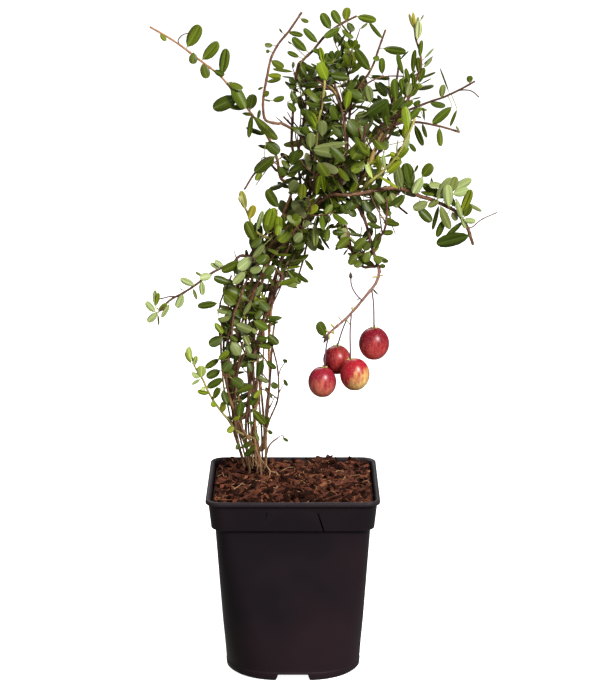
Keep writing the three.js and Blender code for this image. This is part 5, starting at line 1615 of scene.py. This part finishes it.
    (37.5, 268.5, -1, 11.5, -6, 0.39, MID, 1), (49, 265, 2, 8, -6, 0.28, FRESH, 1),
    (48.5, 263, 7, 7.5, -7, 0.17, BACK, 2), (50.5, 268, 4.5, 4, -6, 0.45, MID, 2),
    (56.5, 277, 2.5, 9, -6, 0.29, PALE, 1), (53.5, 271, 5.5, 6.5, -6, 0.26, FRESH, 1),
    (46, 276, 2.5, 3.5, -4, 0.66, BACK, 0), (21, 262.5, 5.5, -9.5, 0, 0.16, BACK, 0),
    (28.5, 267, 5, -9, -3, 0.15, BACK, 0), (47, 241, 5.5, -1.5, -5, 0.3, DARK, 1),
    (18.5, 235.5, -1, -7, -3, 0.41, DARK, 1), (26, 237, -6.5, -1.5, -2, 0.19, DARK, 1),
)

# Gaps in the foliage, seen from the front: x, height and radius of each. A place looks higher from there
# by LOOKING_DOWN for each millimetre that it lies further back
SKY_GAPS = (
    (-9, 295, 5.7), (-8, 284, 4.2), (3, 277, 5.2), (-2, 292, 4.7), (22, 308, 4.2), (32, 298, 4.2),
    (53, 318, 5.7), (34, 337, 4.7), (54, 279, 4.2), (-16, 245, 4.7), (-29, 224, 4.7), (19, 217, 4.7),
    (53, 239, 6.2), (31, 212, 4.7), (0, 303, 3.1), (56, 245, 4.2), (5, 289, 3.6), (67, 305, 4.2),
    (22, 329, 2.6), (33, 240, 2.6), (45, 243, 2.6), (52, 228, 3), (2, 279, 4.2), (-2, 198, 4.5),
    (36, 235, 3.4), (70, 308, 3.4), (-6, 200, 5), (-8, 196, 3.6),
)
LOOKING_DOWN = 0.22
TIP_FORWARD = 2
LEAF_MARGIN = 0.7
WOOD_MARGIN = 2.4
BEHIND = 0.3
BUNDLE_TOP = 216
BUNDLE_RIGHT = 8
LAST_LEAF = 0.97
KEPT_CLEAR = 0.92
# Wood that shows through the foliage, and the share of the leaves before it that are left out
SHOWN_WOOD = {
    **{f"stem_{number}": 0.6 for number in (1, 3, 4, 5)},
    "bough_rise_right": 0.9,
    "bough_hang": 0.85,
    "spray_top_right": 0.9,
    "spray_right_upper": 0.9,
    "spray_right_middle": 0.9,
}
shown_wood = [(SmoothCurve(wood_length(name)[0]).spaced(150), share) for name, share in SHOWN_WOOD.items()]
set_x, set_z, to_tip_x, to_tip_z, set_y, set_widths = np.array([row[:6] for row in SET_LEAVES]).T
set_feet = np.column_stack([set_x, set_z + LOOKING_DOWN * set_y])
set_tips = np.column_stack([set_x + to_tip_x, set_z + to_tip_z + LOOKING_DOWN * (set_y - TIP_FORWARD)])
set_spans = set_tips - set_feet
set_lengths = np.linalg.norm(set_spans, axis=1)
set_halves = set_widths * set_lengths / 2


def before_set_leaf(place):
    """True in front of a leaf that shows whole."""
    off = np.array((place[0], place[2] + LOOKING_DOWN * place[1])) - set_feet
    along = np.clip(np.einsum("ij,ij->i", off, set_spans) / set_lengths**2, 0, 1)
    gaps = np.linalg.norm(off - along[:, None] * set_spans, axis=1)
    return np.any((gaps < set_halves + LEAF_MARGIN) & (place[1] < set_y + 1))


def before_wood(root, tip, places):
    """True where a leaf covers a length of wood that shows."""
    heights = places[:, 2] + LOOKING_DOWN * places[:, 1]
    for along in (0.25, 0.55, 0.85):
        x, y, z = mix(root, tip, along)
        near = np.hypot(places[:, 0] - x, heights - z - LOOKING_DOWN * y) < WOOD_MARGIN
        if np.any(near & (places[:, 1] > y + BEHIND)):
            return True
    return False


def open_place(root, tip, pick):
    """True where a leaf would close a gap, hide the wood that shows or stand out from the bundle."""
    covered = [mix(root, tip, along) for along in (0.1, 0.5, 0.9)]
    for x, y, z in covered:
        height = z + LOOKING_DOWN * y
        if any(math.hypot(x - gap_x, height - gap_z) < reach for gap_x, gap_z, reach in SKY_GAPS):
            return True
    if any(pick < share and before_wood(root, tip, places) for places, share in shown_wood):
        return True
    if pick < KEPT_CLEAR and any(before_set_leaf(place) for place in covered):
        return True
    if past_bundle(tip):
        return True
    x, _, z = root
    if z > BUNDLE_TOP or x > BUNDLE_RIGHT:
        return False
    leafy_edge = np.interp(z, (105, 150, 175, 195, BUNDLE_TOP), (-30, -26, -19, -9, 6))
    if x > leafy_edge:
        return pick > np.interp(x - leafy_edge, (0, 7), (0.6, 0.12))
    return pick > np.interp(z, (100, 135, 160), (0.2, 0.45, 0.95))


def leaves_along(twig, size, draw, bare, spacing, turning, tint, back_share=0.05):
    """Leaves leave a twig in a spiral but turn out to its two sides, with a tuft at the tip."""
    count = max(3, int(twig.length() * (1 - bare) / spacing + 0.5))
    normal = np.array([1.0, 0, 0]) if abs(twig.along(0)[2]) > 0.9 else np.array([0, 0, 1.0])
    for i in range(count):
        t = min(LAST_LEAF, bare + (1 - bare) * (i + 0.7) / count)
        along = twig.curve.way(t)
        normal = square_to(normal, along)
        out = turned(normal, along, math.radians(i * GOLDEN_ANGLE + 50 * (next(draw) - 0.5)))
        to_light = square_to(LIGHT, along)
        out -= 0.7 * to_light * out.dot(to_light)
        out /= np.linalg.norm(out)
        lean = math.radians(mix(66, 36, t**2) + 30 * (next(draw) - 0.5))
        length = size * mix(0.78, 1.2, next(draw)) * (0.6 if t > 0.9 else 1)
        reach = math.cos(lean) * along + math.sin(lean) * out
        jitter = np.array([next(draw), next(draw), next(draw)]) - 0.5
        shows_back = next(draw) < back_share
        towards, share = (AWAY, 0.75) if shows_back else (LIGHT, turning)
        face = (1 - share) * (along - reach * along.dot(reach)) + share * (towards + 1.3 * jitter)
        width = mix(0.36, 0.5, next(draw))
        tone = min(int(next(draw) ** 1.2 * 3), 2)
        curl = mix(-0.02, 0.17, next(draw))
        root = twig.curve.at(t) + out * 0.2
        if open_place(root, root + reach * length, next(draw)):
            continue
        leaf = leaf_at(root, reach, face, length, width, curl, tone)
        leaf_sets["back" if shows_back and tint != "pale" else tint].append(leaf)


BACK_SHARES = {"spray_centre_front": 0.25, "spray_arm_under": 0.2, "spray_hang_left": 0.1}
TURNING = 0.34
replaced = {tint: [] for tint in LEAF_TINTS}
for name, size, tint, twig, shoots, draw in leafy:
    if name == "fruiting_runner":
        continue
    replaced[tint].append(name)
    if name in FINER_LINES or name == "spray_small_left":
        continue
    backs = BACK_SHARES.get(name, 0.05)
    leaves_along(twig, size * 1.05, draw, 0.04, 2.9, TURNING, tint, backs)
    for shoot, shoot_size in shoots:
        leaves_along(shoot, shoot_size, draw, 0.2, 2.4, TURNING, tint, backs)
limb_draw = numbers(77)
for name, limb in limbs.items():
    if name.startswith("bough_") and name != "bough_hang":
        leaves_along(limb, 10.5, limb_draw, 0.12, 4.2, 0.3, "dark")
    if name.startswith("stem_"):
        leaves_along(limb, 10.5, limb_draw, 0.5, 4.6, 0.3, "dark")
leaves_along(limbs["bough_hang"], 7.5, limb_draw, 0.1, 3.0, 0.4, "mid")
for i, strand in enumerate(strands):
    leaves_along(strand, 10, limb_draw, 0.12, 5.6, 0.35, ("dark", "mid", "dark")[i % 3])

# The set leaves, each on a short stalk from the nearest wood
SET_WIDER = 1.16
FACING_SPREAD = 0.7
STALK_REACH = 14
STALK_RADII = (0.24, 0.2, 0.2, 0.12)
set_draw = numbers(91)
leaf_stalks = Bunch()
wood_places = np.array(wood_places)
for x, z, to_tip_x, to_tip_z, y, width, tint, tone in SET_LEAVES:
    root = np.array([x, y, z], float)
    span = np.array([to_tip_x, -TIP_FORWARD, to_tip_z], float)
    length = np.linalg.norm(span)
    reach = span / length
    facing = SKYWARD + FACING_SPREAD * (np.array([next(set_draw) for _ in range(3)]) - 0.5)
    curl = mix(-0.02, 0.16, next(set_draw))
    leaf_sets[tint].append(leaf_at(root, reach, facing, length, SET_WIDER * width, curl, tone))
    foot = wood_places[np.argmin(np.linalg.norm(wood_places - root, axis=1))]
    if 0.3 < np.linalg.norm(foot - root) < STALK_REACH:
        bend = mix(foot, root, 0.6) - 0.1 * span / length
        leaf_stalks.add_tube([foot, bend, root, root + reach], STALK_RADII, 5, 0)
green = (0.20, 0.20, 0.06)
stalk_green = bark_finish("leaf_stalk_green", green, green, (0.3, 0.2, 0.1), 0.5, 0.55)
leaf_stalk_mesh = leaf_stalks.build("leaf_stalks", [stalk_green])

leaf_maps = np.column_stack([leaf_corners[:, 0] * 0.5 + 0.5, leaf_corners[:, 1]])
one_map = np.concatenate([leaf_maps[list(face)] for face, _ in leaf_faces])
UNDER_FINISH = 3
for tint, leaves in leaf_sets.items():
    roots, reaches, acrosses, faces_up = (np.array([leaf[k] for leaf in leaves]) for k in range(4))
    lengths, widths, curls, tones = (np.array([leaf[k] for leaf in leaves]) for k in range(4, 8))
    x = leaf_corners[:, 0] * widths[:, None] / 2
    y = np.broadcast_to(leaf_corners[:, 1], x.shape)
    z = leaf_corners[:, 2] - curls[:, None] * y**2
    points = roots[:, None] + lengths[:, None, None] * (
        x[..., None] * acrosses[:, None] + y[..., None] * reaches[:, None] + z[..., None] * faces_up[:, None]
    )
    faces, finish_of = [], []
    for number, tone in enumerate(tones):
        base = number * len(leaf_corners)
        faces += [tuple(base + corner for corner in face) for face, _ in leaf_faces]
        finish_of += [int(tone) if side == TOP else UNDER_FINISH for _, side in leaf_faces]
    maps = np.tile(one_map, (len(leaves), 1))
    points = points.reshape(-1, 3)
    foliage = joined_mesh(f"leaves_{tint}", points, faces, leaf_finishes[tint], finish_of, maps)
    if replaced[tint]:
        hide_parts(*replaced[tint])

# Fruit. Four ripe cranberries hang from the runner on thin purple stalks. Each is a glossy, slightly
# pointed ball, crimson with a paler side that is partly unripe blush and partly painted glow towards the
# front, with a dimple at the stalk and a dry scar under it.
# Berries: centre, half width and half height, where the stalk leaves the runner, and its lean
BERRIES = (
    ((42, -11, 176), (7.5, 8.3), 0.34, 0),
    ((23, -5, 166), (6.9, 7.4), 0.68, 0),
    ((15.3, -14, 156.3), (7, 7.8), 0.95, 0.9),
    ((32, -17, 161), (7.3, 8.2), 0.64, -2.2),
)
# Ripe and unripe colour of each, and the side that is pale: partly unripe blush, partly a painted glow turned
# towards the front
BERRY_COLOURS = (
    ((0.16, 0.001, 0.010), (0.50, 0.06, 0.05), (0.05, -0.6, -0.8)),
    ((0.13, 0.001, 0.006), (0.34, 0.03, 0.025), (0.6, -0.7, 0.2)),
    ((0.24, 0.008, 0.022), (0.62, 0.17, 0.10), (-0.3, -0.6, -0.8)),
    ((0.32, 0.008, 0.018), (0.74, 0.52, 0.17), (0.6, -0.4, -0.7)),
)
PLUMPNESS = 1.05
DIMPLE_DEPTH = 0.85
DIMPLE_WIDTH = 0.2


def berry_nodes():
    """Berry skin: the ripe colour, paler to one side by unripe blush and by a painted glow, with fine pale
    specks.
    """
    tree, given, result = new_group(
        "berry_skin",
        [
            ("Centre", "Vector"), ("Ripe", "Color"), ("Unripe", "Color"),
            ("Pale And Glow Side", "Vector"), ("Size", "Float"),
        ],
        [("Color", "Color"), ("Height", "Float")],
    )
    place = add_node(tree, "TexCoord")
    from_centre = add_node(
        tree, "VectorMath", {0: (place, "Object"), 1: (given, "Centre")}, operation="SUBTRACT"
    )
    # The paler side is partly real unripe blush and partly a painted glow, set towards the front of each
    # berry.
    side = add_node(
        tree, "VectorMath", {0: (from_centre, 0), 1: (given, "Pale And Glow Side")}, operation="DOT_PRODUCT"
    )
    share = add_node(tree, "Math", {0: (side, "Value"), 1: (given, "Size")}, operation="DIVIDE")
    stretch = add_node(tree, "Mapping", {"Vector": (from_centre, 0)}, Scale=(1.0, 1.0, 0.35))
    wander = add_node(
        tree, "TexNoise", {"Vector": (stretch, "Vector")}, Scale=460.0, Detail=6.0, Roughness=0.72
    )
    uneven = add_node(
        tree, "MapRange", {"Value": (wander, "Fac")}, From_Min=0.3, From_Max=0.7, To_Min=-0.55, To_Max=0.55
    )
    total = add_node(tree, "Math", {0: (share, 0), 1: (uneven, "Result")}, operation="ADD")
    turn = add_node(tree, "MapRange", {"Value": (total, 0)}, From_Min=0.15, From_Max=1.15)
    blush_and_painted_glow = add_node(
        tree, "Mix", {0: (turn, "Result"), 6: (given, "Ripe"), 7: (given, "Unripe")}, data_type="RGBA"
    )
    specks = add_node(tree, "TexVoronoi", {"Vector": (place, "Object")}, Scale=950.0)
    speck = add_node(
        tree, "MapRange", {"Value": (specks, "Distance")}, From_Min=0.4, From_Max=0.12, To_Max=0.14
    )
    mixed = add_node(
        tree, "Mix", {0: (speck, "Result"), 6: (blush_and_painted_glow, 2), 7: (0.8, 0.36, 0.27, 1)}, data_type="RGBA"
    )
    feed(tree, result, {"Color": (mixed, 2), "Height": (wander, "Fac")})
    return tree


berry_group = berry_nodes()

RUNNER_LINE = (
    (44.4, -8, 216), (44.3, -9, 211.4), (42.2, -10, 206.6), (37.7, -11, 201.2),
    (32.8, -12, 195.4), (27.4, -13, 189.6), (21.6, -14, 184.8), (17.4, -14, 180.8),
)
runner = SmoothCurve(RUNNER_LINE)
STALK_PURPLE, BRACT_GREEN, SCAR, RUNNER_BARK, BUD_DARK = range(5)
STALK_STEPS = 14


def outward(angle, reach, rise):
    """A step out and up from an upright axis."""
    return np.array([math.cos(angle) * reach, math.sin(angle) * reach, rise])


berries = []
stalks = Bunch()
for i, ((centre, halves, knot_at, aside), colours) in enumerate(zip(BERRIES, BERRY_COLOURS)):
    ripe, unripe, pale_and_glow_side = colours
    width, height = (half * PLUMPNESS for half in halves)
    middle = Vector(centre) * MM
    bpy.ops.object.select_all(action="DESELECT")
    bpy.ops.mesh.primitive_uv_sphere_add(segments=40, ring_count=24, radius=MM, location=middle)
    berry = bpy.context.object
    berry.name = f"berry_{i + 1}"
    bpy.ops.transform.resize(value=(width, width, height))
    bpy.ops.object.transform_apply(location=True, rotation=True, scale=True)
    for vertex in berry.data.vertices:
        off = vertex.co - middle
        level = off.z / (height * MM)
        axis_gap = math.hypot(off.x, off.y) / (width * MM)
        off.z -= math.copysign(DIMPLE_DEPTH * MM * math.exp(-((axis_gap / DIMPLE_WIDTH) ** 2)), level)
        swell = 1 + 0.02 * noise.noise(vertex.co * 90) - 0.05 * max(0, -level) ** 3
        vertex.co = middle + Vector((off.x * swell, off.y * swell, off.z))
    skin = principled(f"berry_skin_{i + 1}", 0.34, 0.28)
    skin.node_tree.nodes["Principled BSDF"].inputs["Coat Weight"].default_value = 0.1
    skin.node_tree.nodes["Principled BSDF"].inputs["Coat Roughness"].default_value = 0.2
    values = {
        "Centre": middle,
        "Ripe": (*ripe, 1),
        "Unripe": (*unripe, 1),
        "Pale And Glow Side": Vector(pale_and_glow_side).normalized(),
        "Size": height * MM,
    }
    surfaced(skin, berry_group, values, "Height", 0.06, 0.0005)
    berry.data.materials.append(skin)
    bpy.ops.object.shade_smooth()
    berries.append(berry)
    knot = runner.at(knot_at)
    top = np.array(centre) + np.array([aside, 0, height - 1 - 0.08 * aside**2])
    sag = mix(knot, top, 0.4) + np.array([0.5 * math.copysign(1, top[0] - knot[0]), 0, 0])
    stalk_path = SmoothCurve([knot, sag, top]).spaced(STALK_STEPS)
    stalk_radii = [mix(0.4, 0.45, k / STALK_STEPS) for k in range(STALK_STEPS + 1)]
    stalks.add_tube(stalk_path, stalk_radii, 6, STALK_PURPLE)
    for k in range(5):
        angle = math.radians(72 * k + 20 * i)
        bract = [(0, 0, -0.6), outward(angle, 0.9, 0.5), outward(angle, 2.2, 0.9 + 0.9 * (k % 2))]
        stalks.add_tube([top + step for step in bract], [0.4, 0.55, 0.14], 4, BRACT_GREEN)
        scar = np.array(centre) - np.array([0, 0, height - 0.75])
        tip = scar + outward(angle, 0.9, -0.35)
        stalks.add_tube([scar, mix(scar, tip, 0.6), tip], [0.3, 0.28, 0.1], 4, SCAR)
RUNNER_STEPS = 26
runner_path = runner.spaced(RUNNER_STEPS)
runner_widths = [mix(0.84, 0.62, k / RUNNER_STEPS) for k in range(RUNNER_STEPS + 1)]
relief = bark_relief(runner_path, 8, 5)
stalks.add_tube(runner_path, [wide * ring for wide, ring in zip(runner_widths, relief)], 8, RUNNER_BARK)
BUD_STALK = ((35.8, -12, 199), (33.4, -12, 201.2), (31, -12, 204.8), (30, -12, 208), (29.9, -12, 210.6))
stalks.add_tube(SmoothCurve(BUD_STALK).spaced(12), [0.38] * 13, 6, STALK_PURPLE)
BUD = ((29.9, -12, 210.4), (29.8, -12, 211.3), (29.7, -12, 212.6), (29.7, -12, 213.8))
stalks.add_tube(BUD, [0.4, 1.05, 0.85, 0.2], 7, BUD_DARK)
# Bracts and dry stubs on the runner: foot, tip, half width and finish
BRACTS = (
    ((44.2, -9.4, 211.2), (40.4, -10, 210.6), 0.6, BRACT_GREEN),
    ((44.8, -9.4, 211.2), (47.2, -10, 212.2), 0.45, BRACT_GREEN),
    ((41, -10.4, 204.8), (44.2, -11, 201.6), 0.55, BUD_DARK),
    ((34.6, -12, 200), (32.8, -12.4, 199.2), 0.35, BUD_DARK),
    ((31, -12.6, 193.8), (30.4, -13, 196), 0.7, BRACT_GREEN),
    ((25.4, -13, 188), (23, -13.4, 191.4), 0.4, BRACT_GREEN),
    ((27.6, -13, 189.2), (30, -13.6, 185.8), 0.35, BRACT_GREEN),
    ((21.4, -14, 185), (19.2, -14.4, 187.6), 0.65, BRACT_GREEN),
    ((21, -14, 184.4), (20.8, -14.6, 181.2), 0.65, BRACT_GREEN),
    ((19.4, -14, 183), (21.6, -14.8, 182.6), 0.7, BRACT_GREEN),
    ((18.8, -14, 182.4), (16.8, -14.6, 184.2), 0.6, BRACT_GREEN),
    ((18, -14, 181.2), (15.8, -14.4, 176.8), 0.95, BUD_DARK),
    ((18.6, -14, 181.8), (18.8, -14.8, 178.6), 0.6, BRACT_GREEN),
    ((17.8, -14, 181), (14.8, -14.6, 179.6), 0.7, BUD_DARK),
)
for foot, tip, half_width, finish in BRACTS:
    foot, tip = np.array(foot, float), np.array(tip, float)
    places = [foot, mix(foot, tip, 0.35), mix(foot, tip, 0.7), tip]
    stalks.add_tube(places, [0.2, half_width, half_width * 0.8, 0.08], 6, finish)
make_active(berries[0])
for berry in berries:
    berry.select_set(True)
bpy.ops.object.join()
fruit = bpy.context.object
fruit.name = "berries"
bpy.ops.object.origin_set(type="ORIGIN_CURSOR")
bpy.ops.object.transform_apply(location=True, rotation=True, scale=True)
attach(fruit, "root")
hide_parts("fruiting_runner")

# Stalks, bracts, scars, runner and bud: colour, colour of the flakes, flaking and roughness
STALK_COLOURS = (
    ("stalk_purple", (0.13, 0.065, 0.08), (0.22, 0.14, 0.13), 0.4, 0.5),
    ("bract_yellow_green", (0.4, 0.36, 0.12), (0.5, 0.35, 0.16), 0.5, 0.6),
    ("scar_brown", (0.2, 0.09, 0.04), (0.35, 0.2, 0.1), 0.4, 0.8),
    ("runner_pink_tan", (0.21, 0.10, 0.075), (0.46, 0.31, 0.23), 0.75, 0.6),
    ("bud_dark", (0.05, 0.035, 0.03), (0.10, 0.07, 0.05), 0.4, 0.6),
)
stalk_finishes = [bark_finish(name, colour, colour, *rest) for name, colour, *rest in STALK_COLOURS]
stalk_mesh = stalks.build("berry_stalks", stalk_finishes)
